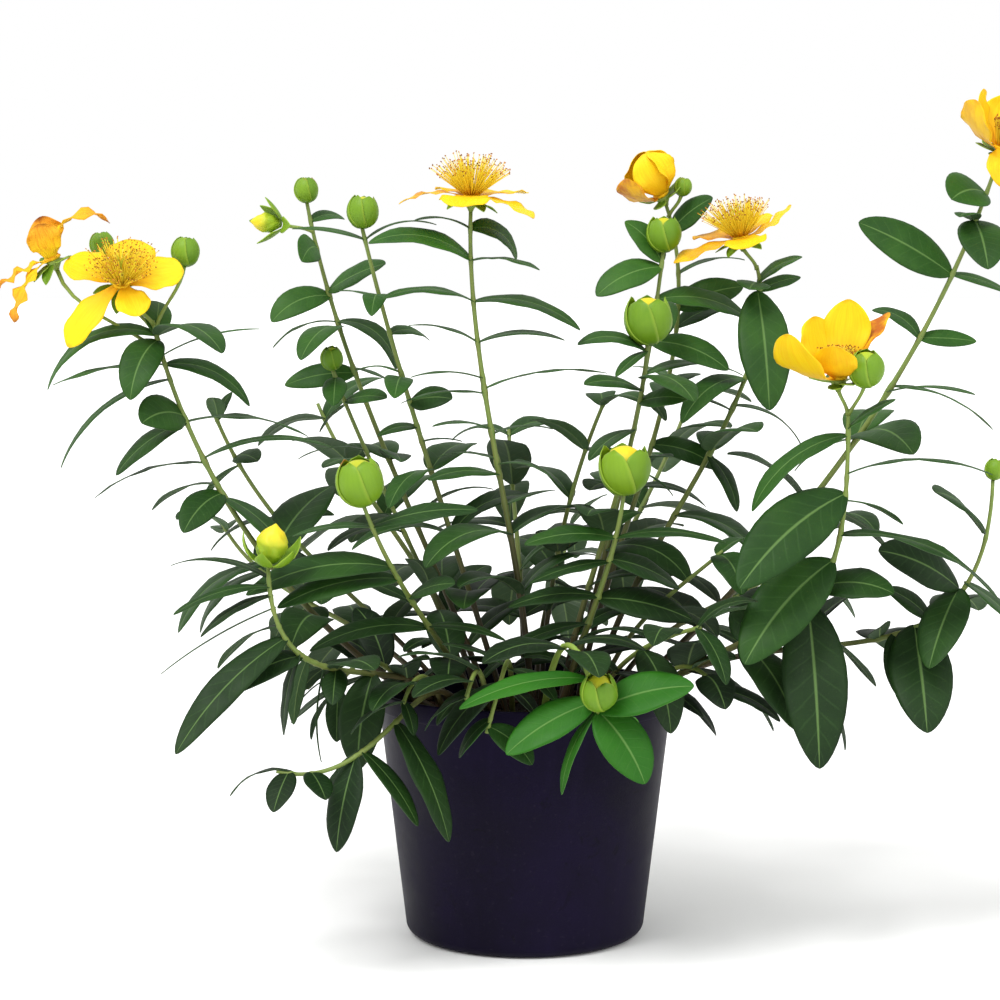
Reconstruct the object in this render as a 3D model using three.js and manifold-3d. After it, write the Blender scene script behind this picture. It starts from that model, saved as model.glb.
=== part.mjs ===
// Potted aarons beard: a low Hypericum shrub with yellow flowers in a round nursery pot.
// Millimetres, +Z up. The origin is the centre of the pot's underside, and the side that the
// flowers are seen from is -Y.
import * as THREE from "three";
import Module from "manifold-3d";

const wasm = await Module();
wasm.setup();

// Pot
const POT_HEIGHT = 158;
const POT_FOOT_RADIUS = 76;
const POT_TOP_RADIUS = 93;
const POT_RIM_RADIUS = 94.6;
const POT_RIM_DEPTH = 12;
const POT_WALL = 2;
const POT_FLOOR = 3;
const POT_ROUNDING = 7;
const POT_SIDES = 28;
const DRAIN_HOLES = 4;
const DRAIN_SIDES = 6;
const DRAIN_CIRCLE_RADIUS = 50;
const DRAIN_RADIUS = 5;

// Soil
const GAP = 0.3;
const SOIL_TOP = 141;
const SOIL_SIDES = 20;
const STEM_BURIED = 18;
const HOLE_DEPTH = 20;
const HOLE_RADIUS = 4;
const HOLE_SIDES = 4;

// Stems, leaves and petals
const STEM_SIDES = 4;
const STEM_BENDS = 7;
const STEM_TIP_RADIUS = 1.2;
const STALK_RADIUS = 1.3;
const MIDRIB_THICKNESS = 1.4;
const SPINE_STEPS = 24;
const LEAF_WIDTH_RATIO = 0.46;
const LEAF_SHAPE = [0.9, 0.6];
const PETAL_SHAPE = [1.5, 0.6];
const SEPAL_SHAPE = [0.9, 0.8];
const SEPAL_LENGTH = 15;
const SEPAL_WIDTH = 9;
const OPEN_SEPAL_WIDTH = 11;
const SMALL_LEAF = 46;
const LARGE_LEAF = 74;
const LEAF_FOLD = 0.16;

// Bloom heart
const DISC_RADIUS = 5.5;
const DISC_HALF_HEIGHT = 1.2;
const PETAL_ROOT_RADIUS = 3.2;
const PETAL_FOLD = 0.1;
const BLOOM_HEIGHT = 7;
const STAMENS = 11;
const STAMEN_RADIUS = 0.8;
const GOLDEN_TURN = 137.5;
const BUD_SIDES = 7;
const CALYX_SIDES = 5;
const CUP_HEIGHT = 3;

// Room that each blade keeps to the others
const CELL = 3.2;
const ROOT_ZONE = 14;
const POT_CLEARANCE = 4;
const FLOOR_CLEARANCE = 3;
const SAMPLES_ACROSS = 4;

// Grids that a joined body's points may be moved onto, the first that keeps it closed
const WELD_GRIDS = [0.02, 0.013, 0.03, 0.01, 0.007, 0.005, 0.003, 0.002];

// Variants that a leaf tries until it is clear: turn and lift in degrees, and share of its length
const TURNS = [0, 10, -10, 20, -20, 30, -30, 42, -42];
const LIFTS = [[0, 1], [8, 1], [-8, 0.97], [16, 0.92], [-16, 0.9], [26, 0.82], [-26, 0.75], [12, 0.6]];
const VARIANTS = LIFTS.flatMap(([lift, share]) => TURNS.map((turn) => [turn, lift, share]));

// Stems from left to right and front to back. Each rises from its place in the soil along a curve
// with two guide points. Its leaf pairs lie between two shares of its length, turned by a step.
const STEMS = [
  {
    name: "stem_far_left", foot: [-54, -8], guides: [[-146, -14, 198], [-206, -40, 290]],
    tip: [-231, -30, 392],
    radius: 2.4, pairs: 3, from: 0.14, to: 0.46, turn: 20, step: 90, size: 72,
  },
  {
    name: "stem_left_thin", foot: [-46, 14], guides: [[-80, 16, 200], [-165, 15, 240]],
    tip: [-200, 18, 335],
    radius: 1.8, pairs: 3, from: 0.3, to: 0.7, turn: 0, step: 90, size: 54,
  },
  {
    name: "stem_left_tall", foot: [-22, 18], guides: [[-60, 20, 248], [-120, 50, 350]],
    tip: [-141, 50, 467],
    radius: 2, pairs: 4, from: 0.12, to: 0.5, turn: 0, step: 90, size: 64,
  },
  {
    name: "stem_left_mid", foot: [-12, -2], guides: [[-42, 0, 245], [-79, 0, 347]], tip: [-103, 0, 451],
    radius: 2, pairs: 4, from: 0.1, to: 0.5, turn: 10, step: 80, size: 64,
  },
  {
    name: "stem_left_low", foot: [-34, 4], guides: [[-44, 10, 200], [-100, 26, 290]], tip: [-124, 30, 360],
    radius: 1.8, pairs: 4, from: 0.2, to: 0.7, turn: 0, step: 90, size: 58,
  },
  {
    name: "stem_centre", foot: [4, -18], guides: [[1, -19, 250], [-38, -32, 355]], tip: [-34, -30, 461],
    radius: 2.2, pairs: 3, from: 0.12, to: 0.36, turn: 0, step: 14, size: 66,
  },
  {
    name: "stem_inner_right", foot: [10, 16], guides: [[14, 18, 230], [30, 24, 290]], tip: [52, 30, 340],
    radius: 1.8, pairs: 5, from: 0.25, to: 0.97, turn: 0, step: 70, size: 62,
  },
  {
    name: "stem_right_tall", foot: [26, 4], guides: [[50, 4, 238], [78, 29, 336]], tip: [89, 38, 436],
    radius: 2, pairs: 4, from: 0.1, to: 0.48, turn: 15, step: 90, size: 64,
  },
  {
    name: "stem_right_high", foot: [34, 22], guides: [[50, 24, 246], [126, 66, 366]], tip: [92, 68, 465],
    radius: 2, pairs: 4, from: 0.1, to: 0.6, turn: 0, step: 90, size: 64,
  },
  {
    name: "stem_right_bud", foot: [22, -14], guides: [[28, -16, 210], [72, -20, 300]], tip: [76, -20, 380],
    radius: 2.2, pairs: 4, from: 0.1, to: 0.5, turn: 0, step: 80, size: 66,
  },
  {
    name: "stem_front_right_bud", foot: [20, -36], guides: [[31, -42, 192], [55, -59, 239]],
    tip: [60, -60, 290],
    radius: 2.6, pairs: 2, from: 0.2, to: 0.36, turn: 0, step: 90, size: 62,
  },
  {
    name: "stem_right_arch", foot: [46, 8], guides: [[46, 3, 229], [173, 46, 336]], tip: [149, 38, 425],
    radius: 2.2, pairs: 4, from: 0.16, to: 0.58, turn: 0, step: 90, size: 68,
  },
  {
    name: "stem_right_front", foot: [56, -22], guides: [[160, -56, 228], [196, -92, 183]],
    tip: [193, -85, 341],
    radius: 2.5, pairs: 3, from: 0.16, to: 0.46, turn: 0, step: 90, size: 76,
  },
  {
    name: "stem_far_right", foot: [60, 20], guides: [[159, 41, 231], [248, -7, 342]], tip: [300, 20, 493],
    radius: 2.5, pairs: 4, from: 0.18, to: 0.56, turn: 0, step: 90, size: 72,
  },
  {
    name: "stem_right_low", foot: [66, -2], guides: [[144, -12, 226], [285, -54, 136]],
    tip: [288, -46, 296],
    radius: 2.2, pairs: 4, from: 0.2, to: 0.72, turn: 0, step: 90, size: 76,
  },
  {
    name: "stem_front_left_bud", foot: [-26, -28], guides: [[-50, -44, 197], [-76, -104, 225]],
    tip: [-98, -110, 288],
    radius: 2.2, pairs: 3, from: 0.14, to: 0.42, turn: 0, step: 80, size: 64,
  },
  {
    name: "stem_left_front_bud", foot: [-48, -36], guides: [[-66, -50, 206], [-150, -142, 150]],
    tip: [-153, -120, 250],
    radius: 2.3, pairs: 3, from: 0.26, to: 0.56, turn: 0, step: 90, size: 62,
  },
  {
    name: "stem_left_trailing", foot: [-34, -54], guides: [[-62, -84, 214], [-80, -140, 114]],
    tip: [-148, -134, 130],
    radius: 2, pairs: 2, from: 0.2, to: 0.46, turn: 0, step: 90, size: 56,
  },
  {
    name: "stem_front_bud", foot: [10, -60], guides: [[18, -86, 226], [34, -124, 206]],
    tip: [42, -130, 162],
    radius: 2.2, pairs: 2, from: 0.4, to: 0.62, turn: 0, step: 90, size: 58,
  },
  {
    name: "stem_front_left_short", foot: [-8, -44], guides: [[-10, -78, 206], [-10, -116, 200]],
    tip: [-24, -120, 150],
    radius: 1.8, pairs: 3, from: 0.3, to: 0.75, turn: 20, step: 90, size: 62,
  },
  {
    name: "stem_front_right_short", foot: [38, -46], guides: [[52, -66, 192], [84, -96, 205]],
    tip: [104, -108, 212],
    radius: 1.8, pairs: 4, from: 0.3, to: 0.97, turn: 0, step: 90, size: 62,
  },
  {
    name: "stem_right_short", foot: [44, -16], guides: [[56, -24, 200], [90, -34, 220]],
    tip: [122, -44, 250],
    radius: 1.8, pairs: 4, from: 0.3, to: 0.97, turn: 0, step: 90, size: 66,
  },
  {
    name: "stem_back_left", foot: [-30, 40], guides: [[-50, 60, 220], [-110, 110, 260]],
    tip: [-140, 130, 330],
    radius: 2.2, pairs: 5, from: 0.25, to: 0.95, turn: 0, step: 90, size: 70,
  },
  {
    name: "stem_back_mid", foot: [0, 46], guides: [[0, 80, 220], [-6, 150, 240]], tip: [-10, 185, 310],
    radius: 2.2, pairs: 5, from: 0.25, to: 0.97, turn: 0, step: 90, size: 68,
  },
  {
    name: "stem_back_right", foot: [28, 46], guides: [[44, 74, 220], [90, 130, 260]], tip: [118, 160, 340],
    radius: 2.2, pairs: 5, from: 0.25, to: 0.97, turn: 0, step: 90, size: 70,
  },
  {
    name: "stem_back_left_low", foot: [-56, 34], guides: [[-100, 60, 200], [-170, 100, 190]],
    tip: [-205, 118, 250],
    radius: 2, pairs: 4, from: 0.35, to: 0.97, turn: 0, step: 90, size: 66,
  },
  {
    name: "stem_back_right_low", foot: [56, 42], guides: [[92, 66, 210], [170, 110, 190]],
    tip: [215, 128, 255],
    radius: 2, pairs: 4, from: 0.35, to: 0.97, turn: 0, step: 90, size: 66,
  },
  {
    name: "stem_back_low", foot: [8, 68], guides: [[12, 104, 210], [26, 180, 200]], tip: [36, 226, 240],
    radius: 2, pairs: 4, from: 0.4, to: 0.97, turn: 0, step: 90, size: 62,
  },
  {
    name: "stem_rim_left", foot: [-66, -22], guides: [[-84, -36, 186], [-104, -56, 194]],
    tip: [-116, -72, 166],
    radius: 1.8, pairs: 6, from: 0.25, to: 0.97, turn: 20, step: 75, size: 58,
  },
  {
    name: "stem_rim_middle", foot: [-22, -68], guides: [[-26, -86, 188], [-30, -112, 196]],
    tip: [-36, -130, 172],
    radius: 1.8, pairs: 6, from: 0.25, to: 0.97, turn: 0, step: 75, size: 54,
  },
  {
    name: "stem_rim_front", foot: [-48, -58], guides: [[-56, -76, 182], [-66, -96, 190]],
    tip: [-74, -116, 166],
    radius: 1.8, pairs: 5, from: 0.25, to: 0.97, turn: 30, step: 75, size: 54,
  },
  {
    name: "stem_rim_right", foot: [66, -38], guides: [[84, -52, 184], [104, -70, 192]],
    tip: [116, -84, 168],
    radius: 1.8, pairs: 6, from: 0.25, to: 0.97, turn: 0, step: 75, size: 58,
  },
];

// Leaves that are placed one by one: share of the stem's length, tip, arch in degrees, width, and
// degrees by which the upper face turns to the front
const LEAVES = {
  stem_far_left: [
    [0.97, [-293, -56, 346], 48, 19, 25],
    [0.97, [-224, -92, 372], 40, 30, 0],
    [0.97, [-210, -7, 402], 30, 18, 20],
    [0.96, [-260, -69, 353], 34, 27, 20],
    [0.91, [-292, -28, 352], 14, 12, 10],
    [0.93, [-165, -26, 386], 16, 11, 0],
    [0.91, [-173, -22, 337], 36, 18, 30],
    [0.88, [-286, -42, 300], 32, 15, 10],
    [0.8, [-244, -56, 330], 26, 28, 55],
    [0.79, [-237, -66, 296], 20, 22, 20],
    [0.79, [-134, -20, 317], 22, 14, 5],
    [0.71, [-123, -15, 312], 26, 16, 10],
    [0.7, [-269, -23, 280], 22, 10, 0],
    [0.65, [-235, -10, 271], 28, 18, 0],
    [0.63, [-220, -55, 263], 24, 22, 30],
    [0.62, [-168, -73, 239], 22, 30, 0],
  ],
  stem_left_tall: [
    [0.96, [-117, 60, 454], 34, 16, 20],
    [0.91, [-159, 33, 427], 30, 20, 60],
    [0.91, [-125, 9, 406], 16, 24, 0],
    [0.83, [-89, 28, 426], 10, 26, 40],
    [0.82, [-162, 32, 388], 30, 22, 40],
    [0.77, [-164, 60, 370], 30, 10, 0],
    [0.77, [-84, 36, 357], 46, 18, 20],
    [0.76, [-133, -4, 365], 30, 22, 0],
    [0.67, [-153, 28, 347], 14, 18, 55],
    [0.68, [-84, 48, 347], 16, 11, 10],
    [0.62, [-133, 50, 316], 30, 14, 0],
  ],
  stem_left_mid: [
    [0.97, [-147, 6, 448], 14, 12, 10],
    [0.97, [-56, 12, 450], 30, 14, 0],
    [0.85, [-118, 14, 409], 14, 12, 0],
    [0.85, [-95, -40, 394], 40, 16, 0],
    [0.78, [-61, 16, 377], 34, 16, 20],
    [0.7, [-108, 4, 358], 30, 12, 0],
    [0.64, [-46, -14, 342], 16, 20, 50],
    [0.59, [-93, -6, 318], 22, 14, 20],
    [0.69, [-109, -30, 344], 24, 18, 10],
    [0.56, [-40, 4, 314], 16, 12, 0],
  ],
  stem_centre: [
    [0.96, [-69, -20, 453], 26, 13, 0],
    [0.96, [-2, -40, 432], 50, 22, 35],
    [0.9, [-97, -38, 438], 34, 20, 30],
    [0.9, [15, -22, 423], 18, 16, 0],
    [0.82, [-90, -36, 405], 26, 18, 10],
    [0.82, [33, -38, 385], 28, 20, 15],
    [0.74, [-73, -21, 388], 20, 14, 0],
    [0.74, [24, -35, 379], 24, 18, 10],
    [0.67, [-73, -36, 357], 18, 14, 0],
    [0.65, [51, -22, 358], 18, 14, 0],
    [0.64, [-77, -20, 340], 18, 12, 0],
    [0.57, [-58, -34, 326], 22, 13, 0],
    [0.56, [17, -16, 323], 20, 13, 0],
    [0.51, [-54, -17, 306], 20, 12, 0],
    [0.5, [17, -35, 293], 30, 14, 0],
    [0.48, [-60, -51, 294], 18, 20, 10],
    [0.42, [19, -8, 284], 14, 12, 0],
  ],
  stem_left_thin: [
    [0.97, [-198, -2, 342], 30, 12, 0],
    [0.97, [-188, 28, 344], 20, 9, 0],
    [0.88, [-169, -5, 302], 20, 18, 30],
    [0.86, [-207, 31, 274], 20, 12, 0],
  ],
  stem_left_low: [
    [0.97, [-121, -4, 337], 14, 16, 0],
    [0.9, [-88, 12, 341], 16, 18, 30],
    [0.76, [-146, 31, 300], 24, 9, 0],
  ],
  stem_right_tall: [
    [0.96, [46, 23, 405], 22, 24, 40],
    [0.97, [71, 59, 449], 20, 20, 50],
    [0.97, [106, 51, 410], 34, 14, 0],
    [0.89, [146, 47, 388], 26, 24, 30],
    [0.88, [118, 4, 382], 20, 20, 20],
    [0.8, [129, 15, 358], 22, 24, 35],
    [0.73, [146, 44, 352], 26, 18, 10],
    [0.68, [91, 42, 324], 30, 14, 0],
  ],
  stem_right_high: [
    [0.94, [122, 56, 468], 14, 22, 55],
    [0.91, [105, 26, 438], 20, 18, 0],
    [0.85, [146, 90, 427], 22, 12, 0],
    [0.78, [143, 55, 417], 14, 24, 50],
    [0.74, [142, 79, 398], 16, 18, 20],
    [0.62, [116, 73, 353], 20, 14, 0],
    [0.51, [125, 36, 292], 22, 22, 35],
    [0.43, [118, 49, 267], 30, 18, 10],
  ],
  stem_right_bud: [
    [0.97, [32, -34, 376], 34, 20, 25],
    [0.97, [45, -54, 369], 10, 12, 0],
    [0.87, [24, -30, 353], 18, 18, 25],
    [0.9, [75, -74, 343], 30, 28, 0],
    [0.84, [101, -44, 355], 14, 20, 40],
    [0.77, [39, -49, 306], 20, 18, 0],
    [0.67, [93, -9, 280], 26, 14, 0],
  ],
  stem_right_arch: [
    [0.96, [142, 12, 410], 12, 22, 10],
    [0.96, [178, 34, 430], 20, 20, 20],
    [0.94, [179, 53, 417], 10, 12, 30],
    [0.94, [154, -2, 334], 14, 34, 0],
    [0.74, [89, 14, 325], 32, 20, 20],
    [0.73, [107, 45, 369], 12, 24, 40],
    [0.68, [180, 41, 304], 36, 15, 10],
    [0.67, [88, 53, 339], 22, 14, 0],
    [0.57, [135, 14, 268], 24, 18, 0],
  ],
  stem_right_front: [
    [0.96, [136, -96, 279], 30, 17, 25],
    [0.97, [220, -96, 347], 12, 14, 20],
    [0.9, [278, -100, 301], 24, 14, 0],
    [0.87, [119, -116, 237], 16, 38, 45],
    [0.86, [229, -70, 269], 18, 12, 0],
    [0.8, [169, -50, 250], 20, 28, 20],
    [0.78, [283, -76, 225], 30, 20, 10],
    [0.72, [130, -116, 190], 16, 38, 40],
    [0.56, [175, -113, 127], 12, 40, 0],
    [0.62, [208, -111, 229], 24, 30, 30],
  ],
  stem_far_right: [
    [0.95, [266, -8, 466], 24, 32, 40],
    [0.91, [286, -27, 423], 20, 30, 0],
    [0.91, [261, -33, 445], 24, 26, 0],
    [0.83, [209, 1, 452], 8, 31, 60],
    [0.83, [310, 25, 407], 12, 14, 30],
    [0.73, [221, 23, 396], 34, 18, 20],
    [0.73, [287, 15, 377], 6, 14, 50],
    [0.65, [300, 26, 319], 24, 14, 10],
    [0.64, [301, 5, 346], 14, 12, 0],
    [0.56, [178, 35, 293], 24, 16, 0],
  ],
  stem_right_low: [
    [0.91, [247, -77, 289], 24, 36, 30],
    [0.87, [300, -37, 281], 14, 34, 50],
    [0.79, [215, -65, 252], 16, 32, 50],
    [0.79, [241, -89, 188], 14, 32, 0],
    [0.69, [227, -55, 226], 16, 18, 40],
    [0.81, [291, -80, 191], 20, 34, 0],
    [0.65, [243, -89, 144], 12, 40, 0],
    [0.6, [238, -81, 160], 12, 28, 0],
    [0.56, [238, -59, 197], 20, 18, 30],
  ],
  stem_left_front_bud: [
    [0.97, [-223, -109, 245], 24, 12, 0],
    [0.97, [-202, -97, 247], 18, 20, 30],
    [0.95, [-209, -128, 223], 20, 14, 10],
    [0.93, [-202, -109, 221], 20, 14, 10],
    [0.9, [-220, -131, 183], 8, 12, 0],
    [0.85, [-198, -113, 183], 22, 16, 10],
    [0.71, [-174, -131, 175], 22, 22, 30],
    [0.8, [-214, -139, 145], 16, 22, 30],
    [0.73, [-157, -131, 149], 14, 14, 0],
    [0.69, [-146, -105, 151], 20, 12, 0],
    [0.56, [-115, -126, 168], 14, 16, 0],
    [0.61, [-140, -111, 126], 14, 10, 0],
    [0.65, [-179, -99, 145], 14, 10, 0],
  ],
  stem_front_left_bud: [
    [0.91, [-29, -113, 282], 14, 18, 25],
    [0.91, [-140, -115, 265], 14, 13, 10],
    [0.75, [-167, -109, 230], 22, 26, 30],
    [0.7, [-144, -123, 223], 18, 22, 30],
    [0.61, [-43, -104, 237], 16, 20, 30],
    [0.46, [-13, -80, 199], 18, 16, 10],
    [0.45, [-131, -87, 193], 22, 18, 30],
    [0.58, [-120, -62, 237], 14, 16, 10],
  ],
  stem_front_right_bud: [
    [0.8, [-1, -68, 256], 18, 18, 25],
    [0.8, [122, -68, 257], 18, 16, 15],
    [0.7, [2, -72, 233], 12, 14, 20],
    [0.71, [95, -46, 226], 16, 26, 30],
    [0.55, [-11, -67, 217], 18, 18, 25],
    [0.54, [100, -69, 207], 14, 30, 30],
    [0.43, [-16, -78, 180], 18, 18, 10],
  ],
  stem_left_trailing: [
    [0.95, [-176, -124, 112], 36, 10, 0],
    [0.96, [-155, -152, 110], 14, 18, 0],
    [0.89, [-137, -158, 109], 14, 18, 0],
    [0.72, [-112, -141, 83], 12, 24, 0],
    [0.69, [-75, -150, 97], 14, 24, 0],
    [0.52, [-47, -129, 86], 14, 28, 0],
    [0.65, [-124, -115, 109], 20, 14, 0],
  ],
  stem_front_bud: [
    [0.97, [98, -139, 181], 14, 30, 45],
    [0.93, [-12, -142, 141], 14, 26, 40],
    [0.97, [62, -152, 124], 16, 34, 30],
    [0.97, [21, -140, 117], 22, 11, 0],
    [0.95, [87, -105, 142], 14, 16, 0],
    [0.81, [-42, -130, 168], 18, 16, 30],
  ],
  stem_front_left_short: [
    [0.15, [-33, -74, 132], 14, 14, 10],
    [0.97, [-9, -142, 132], 20, 20, 30],
    [0.94, [-40, -115, 134], 20, 16, 30],
  ],
};

// Bare stalks that leave a stem at a share of its length
const STALKS = [
  {
    name: "stalk_far_left_bloom", stem: "stem_far_left", at: 0.99,
    guides: [[-235, -30, 397], [-245, -28, 400]], tip: [-250, -27, 409],
  },
  {
    name: "stalk_far_left_bud", stem: "stem_far_left", at: 0.98,
    guides: [[-226, -26, 402], [-214, -16, 410]], tip: [-213, -12, 427],
  },
  {
    name: "stalk_far_left_fruit", stem: "stem_far_left", at: 0.96,
    guides: [[-236, -14, 396], [-266, 12, 406]], tip: [-268, 18, 432],
  },
  {
    name: "stalk_withered", stem: "stem_far_left", at: 0.93,
    guides: [[-246, -26, 390], [-286, -10, 396]], tip: [-294, -6, 424],
  },
  {
    name: "stalk_left_opening_bud", stem: "stem_left_tall", at: 0.94,
    guides: [[-144, 52, 450], [-150, 55, 449]], tip: [-156, 56, 451],
  },
  {
    name: "stalk_right_high_bud", stem: "stem_right_high", at: 0.97,
    guides: [[96, 66, 462], [101, 65, 464]], tip: [102, 64, 471],
  },
  {
    name: "stalk_right_bloom", stem: "stem_right_arch", at: 0.99,
    guides: [[148, 38, 428], [144, 39, 430]], tip: [140, 39, 436],
  },
  {
    name: "stalk_front_right_bloom", stem: "stem_right_front", at: 0.99,
    guides: [[192, -85, 345], [188, -85, 347]], tip: [187, -85, 353],
  },
  {
    name: "stalk_front_right_bud", stem: "stem_right_front", at: 0.99,
    guides: [[197, -88, 345], [201, -91, 350]], tip: [202, -93, 357],
  },
  {
    name: "stalk_front_bud", stem: "stem_front_bud", at: 0.98,
    guides: [[42, -132, 164], [42, -134, 167]], tip: [42, -135, 170],
  },
];

// Closed buds: the stem or stalk whose tip each sits on, the way that it points, and its radius
const BUDS = [
  { on: "stalk_far_left_bud", axis: [0.1, 0, 1], radius: 8.5 },
  { on: "stalk_far_left_fruit", axis: [-0.1, 0, 1], radius: 7.5 },
  { on: "stem_left_tall", axis: [0, 0, 1], radius: 7.5 },
  { on: "stem_left_mid", axis: [0.1, 0, 1], radius: 9.5 },
  { on: "stem_left_low", axis: [0, -0.3, 1], radius: 7 },
  { on: "stem_right_tall", axis: [0, -0.1, 1], radius: 10.5 },
  { on: "stalk_right_high_bud", axis: [0.2, 0, 1], radius: 5.5 },
  { on: "stem_right_bud", axis: [0, -0.1, 1], radius: 14 },
  { on: "stem_front_right_bud", axis: [0, -0.1, 1], radius: 14.5 },
  { on: "stalk_front_right_bud", axis: [0, -0.3, 1], radius: 10.3 },
  { on: "stem_front_left_bud", axis: [-0.1, -0.2, 1], radius: 13.5 },
  { on: "stalk_front_bud", axis: [0, -0.5, 1], radius: 10.5 },
  { on: "stem_right_low", axis: [0.2, 0, 1], radius: 6 },
];

// Opening buds: petals rolled into a point, with their radius and height, among spread sepals given
// as turn, rise, fall and length
const OPENING_BUDS = [
  {
    name: "bud_opening_front", on: "stem_left_front_bud", axis: [0.2, -0.2, 1], radius: 9.5, height: 24,
    sepals: [[185, 6, 100, 26], [255, 4, 80, 20], [320, 6, 92, 22], [30, 6, 100, 26], [110, 6, 96, 22]],
  },
  {
    name: "bud_opening_left", on: "stalk_left_opening_bud", axis: [-0.9, -0.2, 0.1], radius: 6.5, height: 19,
    sepals: [[0, 30, 70, 26], [180, 10, -20, 22], [250, 30, 60, 20], [110, 40, 70, 20], [300, 40, 80, 18]],
  },
];

// Blooms: the stem or stalk that carries each, the way that it faces, the spread in degrees and
// the length of its brush of stamens, and its petals as turn, rise, fall, length and width
const BLOOMS = [
  {
    name: "bloom_top", on: "stem_centre", axis: [0.03, -0.05, 1], brush: [66, 27],
    petals: [
      [178, 16, -34, 43, 26], [108, 16, -10, 38, 30], [36, 12, -6, 38, 30],
      [-24, 0, -34, 41, 32], [-98, 8, -26, 34, 32],
    ],
  },
  {
    name: "bloom_far_left", on: "stalk_far_left_bloom", axis: [0.05, -0.55, 0.83], brush: [60, 26],
    petals: [
      [8, 20, 4, 36, 32], [80, 20, 10, 34, 30], [154, 16, -4, 37, 32],
      [226, -14, -54, 50, 24], [-64, 2, -26, 27, 22],
    ],
  },
  {
    name: "bloom_right", on: "stalk_right_bloom", axis: [-0.2, -0.12, 0.95], brush: [60, 27],
    petals: [
      [-6, 6, 44, 36, 28], [62, 14, 10, 34, 28], [134, 10, 0, 34, 28],
      [194, -2, -14, 44, 28], [-88, 6, -14, 34, 28],
    ],
  },
  {
    name: "bloom_cupped", on: "stem_right_high", axis: [-0.45, -0.3, 0.85], brush: [12, 10],
    petals: [
      [-10, 35, 150, 36, 28], [62, 35, 150, 36, 28], [130, 30, 148, 36, 26],
      [216, -4, 124, 34, 30], [-70, 32, 150, 37, 30],
    ],
  },
  {
    name: "bloom_front_right", on: "stalk_front_right_bloom", axis: [0, -0.1, 1], brush: [34, 18],
    petals: [
      [216, -8, 88, 54, 40], [256, 16, 74, 34, 27], [30, 58, 36, 50, 17],
      [66, 56, 90, 48, 30], [130, 42, 86, 40, 30],
    ],
  },
  {
    name: "bloom_far_right", on: "stem_far_right", axis: [0.25, -0.3, 0.95], brush: [26, 18],
    petals: [
      [20, 16, 80, 40, 30], [88, 14, 90, 40, 30], [150, 20, 96, 40, 32],
      [204, 2, 92, 44, 36], [268, 4, -66, 36, 24],
    ],
  },
];

const WITHERED = {
  name: "bloom_withered", on: "stalk_withered", axis: [-0.3, -0.2, 0.9],
  petals: [
    [16, 86, -70, 54, 13], [206, -16, -66, 46, 18], [176, -4, -20, 38, 15],
    [90, 50, 94, 27, 22], [-80, 44, 100, 27, 22],
  ],
};

const clampAngle = (angle, low, high) => Math.min(high, Math.max(low, angle));
const radians = THREE.MathUtils.degToRad;
const vector = (values) => new THREE.Vector3(values[0], values[1], values[2]);
const moved = (point, way, distance) => point.clone().addScaledVector(way, distance);

// Repeatable draws between 0 and 1
function seededDraw(seed) {
  let state = seed >>> 0;
  return () => {
    state = (state + 0x6d2b79f5) >>> 0;
    let mixed = Math.imul(state ^ (state >>> 15), state | 1);
    mixed ^= mixed + Math.imul(mixed ^ (mixed >>> 7), mixed | 61);
    return ((mixed ^ (mixed >>> 14)) >>> 0) / 4294967296;
  };
}

// Point and heading on a cubic curve given by its four points
function pointOn(curve, share) {
  const rest = 1 - share;
  const weights = [
    rest * rest * rest,
    3 * rest * rest * share,
    3 * rest * share * share,
    share * share * share,
  ];
  const point = new THREE.Vector3();
  weights.forEach((weight, index) => point.addScaledVector(curve[index], weight));
  return point;
}

function headingOn(curve, share) {
  const rest = 1 - share;
  const weights = [rest * rest, 2 * rest * share, share * share];
  const heading = new THREE.Vector3();
  weights.forEach((weight, index) => {
    heading.addScaledVector(curve[index + 1], weight);
    heading.addScaledVector(curve[index], -weight);
  });
  return heading.normalize();
}

// Two directions square to an axis: the first is nearest to +X, or to +Y on an axis along X
function squareTo(axis) {
  const guide = Math.abs(axis.x) > 0.9 ? vector([0, 1, 0]) : vector([1, 0, 0]);
  const first = guide.addScaledVector(axis, -guide.dot(axis)).normalize();
  const second = new THREE.Vector3().crossVectors(axis, first);
  return [first, second];
}

// A blade is a leaf, petal or sepal. Its spine starts at the root along `out`, tilted towards `up`
// by `rise`, and bends evenly to `fall` at its tip.
function spineOf(blade) {
  const side = new THREE.Vector3().crossVectors(blade.up, blade.out);
  const spine = [];
  const place = blade.root.clone();
  const step = blade.length / SPINE_STEPS;
  for (let index = 0; index <= SPINE_STEPS; index += 1) {
    const angle = blade.rise + (blade.fall - blade.rise) * (index / SPINE_STEPS);
    const along = blade.out.clone().multiplyScalar(Math.cos(angle));
    along.addScaledVector(blade.up, Math.sin(angle));
    const flat = new THREE.Vector3().crossVectors(along, side);
    const across = side.clone().multiplyScalar(Math.cos(blade.roll));
    across.addScaledVector(flat, Math.sin(blade.roll));
    const normal = new THREE.Vector3().crossVectors(along, across);
    spine.push({ place: place.clone(), across, normal });
    place.addScaledVector(along, step);
  }
  return spine;
}

function halfWidth(blade, share) {
  const [lean, fullness] = blade.shape;
  return (blade.width / 2) * Math.max(0, Math.sin(Math.PI * share ** lean)) ** fullness;
}

// The point at a share across a blade, from -1 at one margin to 1 at the other, with its fold
function bladePoint(blade, spine, index, across) {
  const station = spine[index];
  const reach = halfWidth(blade, index / SPINE_STEPS);
  return moved(station.place, station.across, across * reach)
    .addScaledVector(station.normal, blade.fold * Math.abs(across) * reach);
}

// Cells of space that stems and blades hold. A cell's value is twice the owner's number, plus one
// where a blade holds it, and SHARED where two owners meet.
const SHARED = -1;
const held = new Map();

function cellKey(x, y, z) {
  return (x + 500) * 1000000 + (y + 500) * 1000 + (z + 500);
}

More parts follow.
